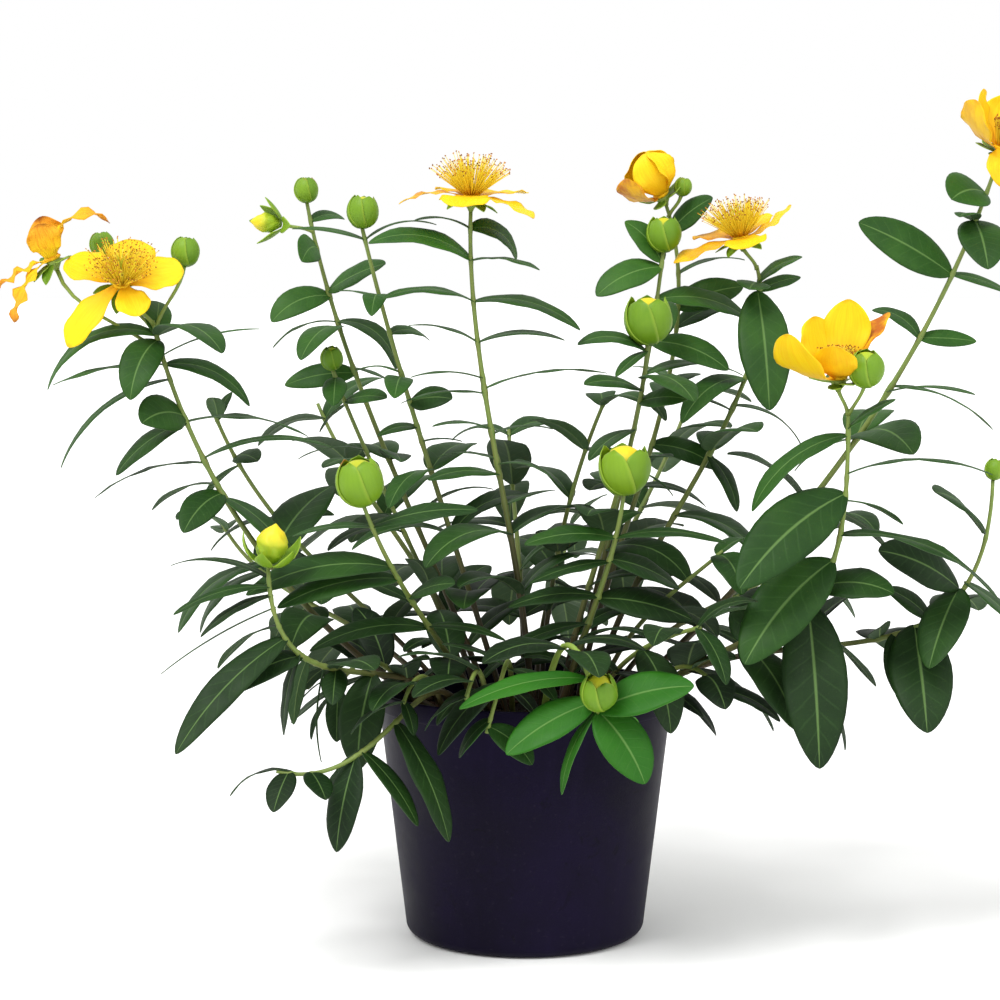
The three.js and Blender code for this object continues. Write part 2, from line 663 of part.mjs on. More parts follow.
function hold(points, value) {
  const owner = value >> 1;
  for (const point of points) {
    const x = Math.floor(point.x / CELL);
    const y = Math.floor(point.y / CELL);
    const z = Math.floor(point.z / CELL);
    for (let i = x - 1; i <= x + 1; i += 1) {
      for (let j = y - 1; j <= y + 1; j += 1) {
        for (let k = z - 1; k <= z + 1; k += 1) {
          const key = cellKey(i, j, k);
          const old = held.get(key);
          if (old === undefined) held.set(key, value);
          else held.set(key, old >> 1 === owner ? Math.max(old, value) : SHARED);
        }
      }
    }
  }
}

function samplesOf(blade) {
  const spine = spineOf(blade);
  const points = [];
  for (let index = 0; index <= SPINE_STEPS; index += 1) {
    for (let across = -SAMPLES_ACROSS; across <= SAMPLES_ACROSS; across += 1) {
      points.push(bladePoint(blade, spine, index, across / SAMPLES_ACROSS));
    }
  }
  return points;
}

function potRadius(height) {
  if (height > POT_HEIGHT - POT_RIM_DEPTH - POT_CLEARANCE) return POT_RIM_RADIUS;
  return POT_FOOT_RADIUS + ((POT_TOP_RADIUS - POT_FOOT_RADIUS) * height) / (POT_HEIGHT - POT_RIM_DEPTH);
}

function isFree(points, root, owner) {
  for (const point of points) {
    const near = point.distanceTo(root) < ROOT_ZONE;
    if (point.z < FLOOR_CLEARANCE) return false;
    const inPotRange = point.z < POT_HEIGHT + POT_CLEARANCE;
    if (inPotRange && Math.hypot(point.x, point.y) < potRadius(point.z) + POT_CLEARANCE) return false;
    const key = cellKey(Math.floor(point.x / CELL), Math.floor(point.y / CELL), Math.floor(point.z / CELL));
    const old = held.get(key);
    if (old === undefined) continue;
    if (old >> 1 !== owner) return false;
    if (!near && old % 2 === 1) return false;
  }
  return true;
}

// The first variant of a leaf that is clear of what is held, or nothing
function settled(leaf, owner) {
  for (const [turn, lift, share] of VARIANTS) {
    const out = leaf.out.clone().applyAxisAngle(leaf.up, radians(turn));
    const rise = leaf.rise + radians(lift);
    const fall = leaf.fall + radians(lift);
    const length = leaf.length * share;
    const variant = { ...leaf, out, rise, fall, length, width: leaf.width * share };
    const points = samplesOf(variant);
    if (!isFree(points, variant.root, owner)) continue;
    hold(points, 2 * owner + 1);
    return variant;
  }
  return null;
}

function curveOf(stem) {
  const foot = vector([stem.foot[0], stem.foot[1], SOIL_TOP + 1]);
  return [foot, vector(stem.guides[0]), vector(stem.guides[1]), vector(stem.tip)];
}

function pairShare(stem, pair) {
  return stem.from + ((stem.to - stem.from) * pair) / Math.max(1, stem.pairs - 1);
}

// A stem is straight between its bends, and leaves and stalks start on those straight lengths
function stemPoint(stem, share) {
  const curve = curveOf(stem);
  const below = Math.min(STEM_BENDS - 1, Math.floor(share * STEM_BENDS));
  return pointOn(curve, below / STEM_BENDS)
    .lerp(pointOn(curve, (below + 1) / STEM_BENDS), share * STEM_BENDS - below);
}

function stalkCurve(stalk) {
  const stem = STEMS.find((candidate) => candidate.name === stalk.stem);
  const start = stemPoint(stem, stalk.at);
  return [start, vector(stalk.guides[0]), vector(stalk.guides[1]), vector(stalk.tip)];
}

function holdCurve(curve, owner) {
  const steps = 60;
  const points = [];
  for (let index = 0; index <= steps; index += 1) points.push(pointOn(curve, index / steps));
  hold(points, 2 * owner);
}

// What sits on a tip, and how far its middle stands beyond the tip
function carrierOf(name) {
  return STEMS.find((stem) => stem.name === name) ?? STALKS.find((stalk) => stalk.name === name);
}

function stemNameOf(name) {
  return carrierOf(name).stem ?? name;
}

function budCentre(bud) {
  return moved(vector(carrierOf(bud.on).tip), vector(bud.axis).normalize(), 0.85 * bud.radius);
}

function bloomCentre(bloom) {
  return moved(vector(carrierOf(bloom.on).tip), vector(bloom.axis).normalize(), BLOOM_HEIGHT);
}

// The sepals of an opening bud start round the tip of its stalk
function openSepalsOf(bud) {
  const foot = moved(vector(carrierOf(bud.on).tip), vector(bud.axis).normalize(), 1);
  return bud.sepals.map(([turn, rise, fall, length]) => roundBlade(
    bud, foot, radians(turn), radians(rise), radians(fall), length, OPEN_SEPAL_WIDTH, SEPAL_SHAPE, 0.2,
  ));
}

// Leaves of one stem that are placed one by one. Each is an even arch from its root to its tip.
function placedLeaves(stem, owner) {
  const leaves = [];
  for (const [share, tip, arch, width, facing] of LEAVES[stem.name] ?? []) {
    const root = stemPoint(stem, share);
    const chord = vector(tip).sub(root);
    const reach = chord.length();
    const slope = Math.asin(chord.z / reach);
    const half = radians(arch);
    const out = vector([chord.x, chord.y, 0]).normalize();
    const leaf = {
      root, out, up: vector([0, 0, 1]), length: (reach * half) / Math.sin(half),
      rise: slope + half, fall: slope - half, roll: radians(facing) * Math.sign(out.x),
      width, fold: LEAF_FOLD, shape: LEAF_SHAPE,
    };
    const placed = settled(leaf, owner);
    if (placed) leaves.push(placed);
  }
  return leaves;
}

// Leaf pairs of one stem, each pair turned from the last
function pairedLeaves(stem, owner) {
  const draw = seededDraw(owner * 97 + 11);
  const curve = curveOf(stem);
  const leaves = [];
  for (let pair = stem.pairs - 1; pair >= 0; pair -= 1) {
    const share = pairShare(stem, pair);
    const root = stemPoint(stem, share);
    const heading = headingOn(curve, share);
    const [first, second] = squareTo(heading);
    const turn = radians(stem.turn + stem.step * pair + 24 * (draw() - 0.5));
    const taper = 1 - 0.3 * ((share - 0.45) / 0.55) ** 2;
    for (const opposite of [0, Math.PI]) {
      const aside = first.clone().multiplyScalar(Math.cos(turn + opposite));
      aside.addScaledVector(second, Math.sin(turn + opposite));
      const lean = radians(38 + 16 * (draw() - 0.5));
      const start = aside.multiplyScalar(Math.cos(lean)).addScaledVector(heading, Math.sin(lean));
      const rise = clampAngle(Math.asin(start.z), radians(-50), radians(58));
      const bend = radians(62 + 40 * (draw() - 0.5));
      const length = stem.size * taper * (0.9 + 0.2 * draw());
      const leaf = {
        root, out: vector([start.x, start.y, 0]).normalize(), up: vector([0, 0, 1]), length, rise,
        fall: Math.max(rise - bend, radians(-84)), roll: radians(30 * (draw() - 0.5)),
        width: length * (LEAF_WIDTH_RATIO + 0.08 * (draw() - 0.5)), fold: 0.12 + 0.2 * draw(),
        shape: LEAF_SHAPE,
      };
      const placed = settled(leaf, owner);
      if (placed) leaves.push(placed);
    }
  }
  return leaves;
}

// Petals or sepals round a bloom's axis
function roundBlade(bloom, heart, turn, rise, fall, length, width, shape, fold) {
  const axis = vector(bloom.axis).normalize();
  const [first, second] = squareTo(axis);
  const out = first.multiplyScalar(Math.cos(turn)).addScaledVector(second, Math.sin(turn));
  const root = moved(heart, out, PETAL_ROOT_RADIUS);
  return { root, out, up: axis, length, rise, fall, roll: 0, width, fold, shape };
}

function petalsOf(bloom) {
  const heart = bloomCentre(bloom);
  return bloom.petals.map(([turn, rise, fall, length, width]) => roundBlade(
    bloom, heart, radians(turn), radians(rise), radians(fall), length, width, PETAL_SHAPE, PETAL_FOLD,
  ));
}

function sepalsOf(bloom) {
  const axis = vector(bloom.axis).normalize();
  const heart = moved(bloomCentre(bloom), axis, -3.4);
  return bloom.petals.map(([turn, rise, fall]) => roundBlade(
    bloom, heart, radians(turn + 36), radians(Math.min(rise, 20) - 16), radians(fall * 0.4 - 20),
    SEPAL_LENGTH, SEPAL_WIDTH, SEPAL_SHAPE, 0.1,
  ));
}

// Closed meshes as lists of points and triangles

// A blade's solid: single points at root and tip, and rows of three between them. It is thickest
// along its midrib, where the two faces part, and they meet again at the margins.
function bladeMesh(blade) {
  const rows = rowsInside(blade);
  const spine = spineOf(blade);
  const points = [];
  const addPoint = (row, across) => {
    const index = Math.round((row * SPINE_STEPS) / (rows + 1));
    points.push(bladePoint(blade, spine, index, across));
    return { index, at: points.length - 1 };
  };
  const root = addPoint(0, 0).at;
  const tip = addPoint(rows + 1, 0).at;
  const left = [];
  const right = [];
  const upper = [];
  const lower = [];
  for (let row = 1; row <= rows; row += 1) {
    left.push(addPoint(row, -1).at);
    right.push(addPoint(row, 1).at);
    const middle = addPoint(row, 0);
    const { normal } = spine[middle.index];
    upper.push(middle.at);
    lower.push(points.push(moved(points[middle.at], normal, -MIDRIB_THICKNESS / 2)) - 1);
    points[middle.at].addScaledVector(normal, MIDRIB_THICKNESS / 2);
  }
  const triangles = [];
  for (const [middle, facingUp] of [[upper, true], [lower, false]]) {
    const add = (a, b, c) => triangles.push(facingUp ? [a, c, b] : [a, b, c]);
    add(root, middle[0], left[0]);
    add(root, right[0], middle[0]);
    for (let row = 0; row + 1 < rows; row += 1) {
      add(left[row], middle[row], middle[row + 1]);
      add(left[row], middle[row + 1], left[row + 1]);
      add(middle[row], right[row], middle[row + 1]);
      add(right[row], right[row + 1], middle[row + 1]);
    }
    add(left[rows - 1], middle[rows - 1], tip);
    add(middle[rows - 1], right[rows - 1], tip);
  }
  return { points, triangles };
}

function rowsInside(blade) {
  if (blade.shape === PETAL_SHAPE) return 3;
  if (blade.shape === SEPAL_SHAPE || blade.length < SMALL_LEAF) return 1;
  return blade.length > LARGE_LEAF ? 3 : 2;
}

// A round bar through the centres, with a radius at each. A last radius of 0 ends in a point.
function barMesh(centres, radii, sides) {
  const points = [];
  const triangles = [];
  const pointed = radii[radii.length - 1] === 0;
  const rings = pointed ? centres.length - 1 : centres.length;
  let first = null;
  for (let ring = 0; ring < rings; ring += 1) {
    const before = centres[Math.max(0, ring - 1)];
    const after = centres[Math.min(centres.length - 1, ring + 1)];
    const heading = new THREE.Vector3().subVectors(after, before).normalize();
    first = first ? first.addScaledVector(heading, -first.dot(heading)).normalize() : squareTo(heading)[0];
    const second = new THREE.Vector3().crossVectors(heading, first);
    for (let side = 0; side < sides; side += 1) {
      const angle = (2 * Math.PI * side) / sides;
      const point = moved(centres[ring], first, radii[ring] * Math.cos(angle));
      points.push(point.addScaledVector(second, radii[ring] * Math.sin(angle)));
    }
  }
  for (let ring = 0; ring + 1 < rings; ring += 1) {
    for (let side = 0; side < sides; side += 1) {
      const a = ring * sides + side;
      const b = ring * sides + ((side + 1) % sides);
      triangles.push([a, b, b + sides], [a, b + sides, a + sides]);
    }
  }
  for (let side = 1; side + 1 < sides; side += 1) triangles.push([0, side + 1, side]);
  const end = (rings - 1) * sides;
  if (pointed) {
    points.push(centres[centres.length - 1].clone());
    for (let side = 0; side < sides; side += 1) {
      triangles.push([end + side, end + ((side + 1) % sides), points.length - 1]);
    }
  } else {
    for (let side = 1; side + 1 < sides; side += 1) triangles.push([end, end + side, end + side + 1]);
  }
  return { points, triangles };
}

function stemMesh(stem) {
  const curve = curveOf(stem);
  const shares = Array.from({ length: STEM_BENDS + 1 }, (_, bend) => bend / STEM_BENDS);
  const buried = moved(curve[0], vector([0, 0, 1]), -STEM_BURIED);
  const centres = [buried, ...shares.map((share) => pointOn(curve, share))];
  const radiusAt = (share) => stem.radius + (STEM_TIP_RADIUS - stem.radius) * share;
  const radii = [stem.radius, ...shares.map(radiusAt)];
  return barMesh(centres, radii, STEM_SIDES);
}

function stalkMesh(stalk) {
  const curve = stalkCurve(stalk);
  const centres = [0, 0.33, 0.67, 1].map((share) => pointOn(curve, share));
  return barMesh(centres, centres.map(() => STALK_RADIUS), STEM_SIDES);
}

function alongAxis(centre, axis, heights) {
  return heights.map((height) => moved(centre, axis, height));
}

function budMesh(bud) {
  const axis = vector(bud.axis).normalize();
  const size = bud.radius;
  const centres = alongAxis(budCentre(bud), axis, [-1, -0.5, 0.45, 1].map((height) => height * size));
  return barMesh(centres, [0.3, 0.92, 0.94, 0.2].map((share) => share * size), BUD_SIDES);
}

// The foot of an opening bud, and the rolled petals that stand just clear of it
function budCupMesh(bud) {
  const axis = vector(bud.axis).normalize();
  const centres = alongAxis(vector(carrierOf(bud.on).tip), axis, [-2, 1, CUP_HEIGHT]);
  return barMesh(centres, [STALK_RADIUS, 4.2, 3.4], CALYX_SIDES);
}

function rolledPetalsMesh(bud) {
  const axis = vector(bud.axis).normalize();
  const base = CUP_HEIGHT + GAP;
  const heights = [0, 0.25, 0.55, 0.8, 1].map((share) => base + share * bud.height);
  const radii = [0.35, 0.85, 1, 0.6, 0].map((share) => share * bud.radius);
  return barMesh(alongAxis(vector(carrierOf(bud.on).tip), axis, heights), radii, BUD_SIDES);
}

function calyxMesh(bloom) {
  const axis = vector(bloom.axis).normalize();
  const top = -DISC_HALF_HEIGHT - GAP;
  return barMesh(alongAxis(bloomCentre(bloom), axis, [-9, -4.5, top]), [STALK_RADIUS, 4.4, 4.6], CALYX_SIDES);
}

function discMesh(bloom) {
  const axis = vector(bloom.axis).normalize();
  const heights = [-DISC_HALF_HEIGHT, DISC_HALF_HEIGHT];
  return barMesh(alongAxis(bloomCentre(bloom), axis, heights), [DISC_RADIUS, DISC_RADIUS], BUD_SIDES);
}

function ovaryMesh(bloom) {
  const axis = vector(bloom.axis).normalize();
  const base = DISC_HALF_HEIGHT + GAP;
  const heights = [base, base + 2.5, base + 6, base + 9];
  return barMesh(alongAxis(bloomCentre(bloom), axis, heights), [2.4, 3.2, 2.4, 0.8], CALYX_SIDES);
}

function stamenMeshes(bloom) {
  const axis = vector(bloom.axis).normalize();
  const [first, second] = squareTo(axis);
  const foot = moved(bloomCentre(bloom), axis, DISC_HALF_HEIGHT + GAP + 3);
  const [spread, length] = bloom.brush;
  const meshes = [];
  for (let index = 0; index < STAMENS; index += 1) {
    const turn = radians(index * GOLDEN_TURN);
    const tilt = radians(spread) * Math.sqrt((index + 0.5) / STAMENS);
    const way = axis.clone().multiplyScalar(Math.cos(tilt));
    way.addScaledVector(first, Math.sin(tilt) * Math.cos(turn));
    way.addScaledVector(second, Math.sin(tilt) * Math.sin(turn));
    meshes.push(barMesh([moved(foot, way, 0.6), moved(foot, way, length)], [STAMEN_RADIUS, 0], 3));
  }
  return meshes;
}

// Solids joined and cut

function solidOf({ points, triangles }) {
  const vertProperties = new Float32Array(points.flatMap((point) => [point.x, point.y, point.z]));
  const triVerts = new Uint32Array(triangles.flat());
  return new wasm.Manifold(new wasm.Mesh({ numProp: 3, vertProperties, triVerts }));
}

function fused(meshes) {
  return meshes.map(solidOf).reduce((whole, piece) => whole.add(piece));
}

function latheSolid(profile, sides) {
  const points = [];
  const triangles = [];
  const starts = profile.map(([radius, height]) => {
    const start = points.length;
    const copies = radius === 0 ? 1 : sides;
    for (let side = 0; side < copies; side += 1) {
      const angle = (2 * Math.PI * side) / sides;
      points.push(vector([radius * Math.cos(angle), radius * Math.sin(angle), height]));
    }
    return start;
  });
  for (let row = 0; row + 1 < profile.length; row += 1) {
    const lowSingle = profile[row][0] === 0;
    const highSingle = profile[row + 1][0] === 0;
    for (let side = 0; side < sides; side += 1) {
      const next = (side + 1) % sides;
      const a = starts[row] + (lowSingle ? 0 : side);
      const b = starts[row] + (lowSingle ? 0 : next);
      const c = starts[row + 1] + (highSingle ? 0 : next);
      const d = starts[row + 1] + (highSingle ? 0 : side);
      if (!lowSingle) triangles.push([a, b, c]);
      if (!highSingle) triangles.push([a, c, d]);
    }
  }
  return solidOf({ points, triangles });
}

// Joining leaves slivers. Points are moved onto a fine grid, where close ones become one, and the
// triangles that shrink to a line go. Two triangles back to back cancel each other.
function onGrid(mesh, grid) {
  const places = new Map();
  const points = [];
  const indices = [];
  for (let vertex = 0; vertex < mesh.numVert; vertex += 1) {
    const start = vertex * mesh.numProp;
    const snapped = [0, 1, 2].map((axis) => Math.round(mesh.vertProperties[start + axis] / grid) * grid);
    const key = snapped.map((value) => value.toFixed(4)).join(" ");
    if (!places.has(key)) places.set(key, points.push(snapped) - 1);
    indices.push(places.get(key));
  }
  const kept = new Map();
  for (let start = 0; start < mesh.triVerts.length; start += 3) {
    const triangle = [0, 1, 2].map((corner) => indices[mesh.triVerts[start + corner]]);
    if (new Set(triangle).size < 3) continue;
    const key = [...triangle].sort((a, b) => a - b).join(" ");
    if (kept.has(key)) kept.delete(key);
    else kept.set(key, triangle);
  }
  return { points, triangles: [...kept.values()] };
}

// Closed means that each edge is used once in each direction
function isClosed({ triangles }) {
  const edges = new Set();
  for (const [a, b, c] of triangles) {
    for (const [from, to] of [[a, b], [b, c], [c, a]]) {
      if (edges.has(`${from} ${to}`)) return false;
      edges.add(`${from} ${to}`);
    }
  }
  return [...edges].every((edge) => edges.has(edge.split(" ").reverse().join(" ")));
}

function geometryOf(solid) {
  const mesh = solid.getMesh();
  const { points, triangles } = WELD_GRIDS.map((grid) => onGrid(mesh, grid)).find(isClosed);
  const geometry = new THREE.BufferGeometry();
  geometry.setAttribute("position", new THREE.BufferAttribute(new Float32Array(points.flat()), 3));
  geometry.setIndex(new THREE.BufferAttribute(new Uint32Array(triangles.flat()), 1));
  geometry.computeVertexNormals();
  return geometry;
}

function uprightBar(x, y, low, high, radius, sides) {
  return solidOf(barMesh([vector([x, y, low]), vector([x, y, high])], [radius, radius], sides));
}

function potSolid() {
  const underRim = POT_HEIGHT - POT_RIM_DEPTH;
  const outerSlope = (POT_TOP_RADIUS - POT_FOOT_RADIUS) / underRim;
  const profile = [
    [0, 0],
    [POT_FOOT_RADIUS - POT_ROUNDING, 0],
    [POT_FOOT_RADIUS - 0.3 * POT_ROUNDING, 0.3 * POT_ROUNDING],
    [POT_FOOT_RADIUS + outerSlope * POT_ROUNDING, POT_ROUNDING],
    [POT_TOP_RADIUS, underRim],
    [POT_RIM_RADIUS, underRim + 1.5],
    [POT_RIM_RADIUS, POT_HEIGHT - 1],
    [POT_RIM_RADIUS - 1, POT_HEIGHT],
    [POT_RIM_RADIUS - POT_WALL - 0.5, POT_HEIGHT],
    [POT_TOP_RADIUS - POT_WALL, underRim],
    [POT_FOOT_RADIUS - POT_WALL, POT_FLOOR + POT_ROUNDING],
    [POT_FOOT_RADIUS - POT_ROUNDING, POT_FLOOR],
    [0, POT_FLOOR],
  ];
  let pot = latheSolid(profile, POT_SIDES);
  for (let hole = 0; hole < DRAIN_HOLES; hole += 1) {
    const angle = (2 * Math.PI * (hole + 0.5)) / DRAIN_HOLES;
    const x = DRAIN_CIRCLE_RADIUS * Math.cos(angle);
    const y = DRAIN_CIRCLE_RADIUS * Math.sin(angle);
    pot = pot.subtract(uprightBar(x, y, -1, POT_FLOOR + 1, DRAIN_RADIUS, DRAIN_SIDES));
  }
  return pot;
}

function soilSolid() {
  const clearance = POT_WALL + 1;
  const underRim = POT_HEIGHT - POT_RIM_DEPTH;
  const topRadius = POT_FOOT_RADIUS + ((POT_TOP_RADIUS - POT_FOOT_RADIUS) * SOIL_TOP) / underRim - clearance;
  const profile = [
    [0, POT_FLOOR + GAP],
    [POT_FOOT_RADIUS - POT_ROUNDING - 1, POT_FLOOR + GAP],
    [POT_FOOT_RADIUS - clearance, POT_FLOOR + POT_ROUNDING],
    [topRadius, SOIL_TOP - 2],
    [topRadius - 4, SOIL_TOP],
    [0, SOIL_TOP],
  ];
  let soil = latheSolid(profile, SOIL_SIDES);
  for (const stem of STEMS) {
    const [x, y] = stem.foot;
    soil = soil.subtract(uprightBar(x, y, SOIL_TOP - HOLE_DEPTH, SOIL_TOP + 2, HOLE_RADIUS, HOLE_SIDES));
  }
  return soil;
}

// Everything that is held goes in first, so that leaves keep clear of stems, buds and blooms
const ALL_BLOOMS = [...BLOOMS, WITHERED];
const ownerOf = (name) => STEMS.findIndex((stem) => stem.name === name) + 1;

STEMS.forEach((stem) => holdCurve(curveOf(stem), ownerOf(stem.name)));
STALKS.forEach((stalk) => holdCurve(stalkCurve(stalk), ownerOf(stalk.stem)));
for (const bud of BUDS) {
  const points = [];
  for (const [first, second] of [[1, 0], [-1, 0], [0, 1], [0, -1], [0, 0]]) {
    for (const height of [-0.7, 0, 0.7]) {
      const offset = vector([first * 0.7, second * 0.7, height]).multiplyScalar(bud.radius);
      points.push(budCentre(bud).add(offset));
    }
  }
  hold(points, 2 * ownerOf(stemNameOf(bud.on)));
}
ALL_BLOOMS.forEach((bloom) => {
  const value = 2 * ownerOf(stemNameOf(bloom.on)) + 1;
  [...petalsOf(bloom), ...sepalsOf(bloom)].forEach((petal) => hold(samplesOf(petal), value));
});

OPENING_BUDS.forEach((bud) => {
  const value = 2 * ownerOf(stemNameOf(bud.on)) + 1;
  openSepalsOf(bud).forEach((sepal) => hold(samplesOf(sepal), value));
});

// The leaves that are placed one by one come before the pairs that fill in between them
const leavesOf = new Map(STEMS.map((stem) => [stem.name, placedLeaves(stem, ownerOf(stem.name))]));
STEMS.forEach((stem) => leavesOf.get(stem.name).push(...pairedLeaves(stem, ownerOf(stem.name))));

function leafyStem(stem) {
  const meshes = [stemMesh(stem)];
  STALKS.filter((stalk) => stalk.stem === stem.name).forEach((stalk) => meshes.push(stalkMesh(stalk)));
  BUDS.filter((bud) => stemNameOf(bud.on) === stem.name).forEach((bud) => meshes.push(budMesh(bud)));
  ALL_BLOOMS.filter((bloom) => stemNameOf(bloom.on) === stem.name).forEach((bloom) => {
    meshes.push(calyxMesh(bloom));
    sepalsOf(bloom).forEach((sepal) => meshes.push(bladeMesh(sepal)));
  });
  OPENING_BUDS.filter((bud) => stemNameOf(bud.on) === stem.name).forEach((bud) => {
    meshes.push(budCupMesh(bud));
    openSepalsOf(bud).forEach((sepal) => meshes.push(bladeMesh(sepal)));
  });
  leavesOf.get(stem.name).forEach((leaf) => meshes.push(bladeMesh(leaf)));
  return fused(meshes);
}

function paint(color, roughness) {
  return new THREE.MeshStandardMaterial({ color, roughness, metalness: 0 });
}

const plant = new THREE.Group();

function place(name, solid, material) {
  const mesh = new THREE.Mesh(geometryOf(solid), material);
  mesh.name = name;
  plant.add(mesh);
}

place("pot", potSolid(), paint(0x1a1428, 0.45));
place("soil", soilSolid(), paint(0x2c2119, 0.95));
STEMS.forEach((stem) => place(stem.name, leafyStem(stem), paint(0x3f6a35, 0.6)));
for (const bloom of BLOOMS) {
  const petals = petalsOf(bloom).map(bladeMesh);
  place(`${bloom.name}_petals`, fused([discMesh(bloom), ...petals]), paint(0xf2c21a, 0.55));
  place(`${bloom.name}_stamens`, fused([ovaryMesh(bloom), ...stamenMeshes(bloom)]), paint(0xe8a816, 0.6));
}
for (const bud of OPENING_BUDS) {
  place(`${bud.name}_petals`, solidOf(rolledPetalsMesh(bud)), paint(0xe6c81e, 0.55));
}
const witheredPieces = [discMesh(WITHERED), ...petalsOf(WITHERED).map(bladeMesh)];
place("bloom_withered", fused(witheredPieces), paint(0xd98a2b, 0.7));

export default plant;
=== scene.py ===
import math
from math import radians

import bpy
import numpy as np
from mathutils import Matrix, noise


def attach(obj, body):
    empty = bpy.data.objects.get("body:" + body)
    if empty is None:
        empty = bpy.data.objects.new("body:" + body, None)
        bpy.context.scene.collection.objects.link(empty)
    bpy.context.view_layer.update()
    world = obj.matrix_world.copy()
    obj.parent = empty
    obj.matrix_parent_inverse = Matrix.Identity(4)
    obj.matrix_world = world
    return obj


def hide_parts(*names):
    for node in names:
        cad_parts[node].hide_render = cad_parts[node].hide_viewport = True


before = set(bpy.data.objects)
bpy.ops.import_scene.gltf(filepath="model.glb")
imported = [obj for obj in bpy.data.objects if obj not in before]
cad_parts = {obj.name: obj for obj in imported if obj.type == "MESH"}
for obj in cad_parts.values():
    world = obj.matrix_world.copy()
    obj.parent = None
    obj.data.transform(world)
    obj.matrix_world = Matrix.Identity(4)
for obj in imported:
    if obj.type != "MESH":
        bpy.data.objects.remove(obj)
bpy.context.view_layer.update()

METRES = 0.001

# Pot and soil
POT_HEIGHT = 158
POT_FOOT_RADIUS = 76
POT_TOP_RADIUS = 93
POT_RIM_RADIUS = 94.6
POT_RIM_DEPTH = 12
POT_WALL = 2
POT_FLOOR = 3
POT_ROUNDING = 7
DRAIN_HOLES = 4
DRAIN_CIRCLE_RADIUS = 50
DRAIN_RADIUS = 5
SOIL_TOP = 141
STEM_BURIED = 18

# Stems, leaves and petals
STEM_BENDS = 7
STEM_TIP_RADIUS = 1.2
STALK_RADIUS = 1.3
SPINE_STEPS = 24
LEAF_WIDTH_RATIO = 0.46
LEAF_SHAPE = (0.9, 0.6)
PETAL_SHAPE = (1.5, 0.6)
SEPAL_SHAPE = (0.9, 0.8)
SEPAL_LENGTH = 15
SEPAL_WIDTH = 9
OPEN_SEPAL_WIDTH = 11
LEAF_FOLD = 0.16
PETAL_FOLD = 0.1
SEPAL_FOLD = 0.1
OPEN_SEPAL_FOLD = 0.2
DISC_RADIUS = 5.5
PETAL_ROOT_RADIUS = 3.2
BLOOM_HEIGHT = 7

# Room that each blade keeps to the others
CELL = 3.2
ROOT_ZONE = 14
POT_CLEARANCE = 4
FLOOR_CLEARANCE = 3
SAMPLES_ACROSS = 4
CURVE_SAMPLES = 60
SHARED = -1

# Variants that a leaf tries until it is clear: turn and lift in degrees, and share of its length
TURNS = (0, 10, -10, 20, -20, 30, -30, 42, -42)
LIFTS = (
    (0, 1), (8, 1), (-8, 0.97), (16, 0.92), (-16, 0.9), (26, 0.82), (-26, 0.75), (12, 0.6),
)


def records(fields, *rows):
    """A dictionary for each row of a table, from the names of its fields."""
    return [dict(zip(fields.split(), row)) for row in rows]


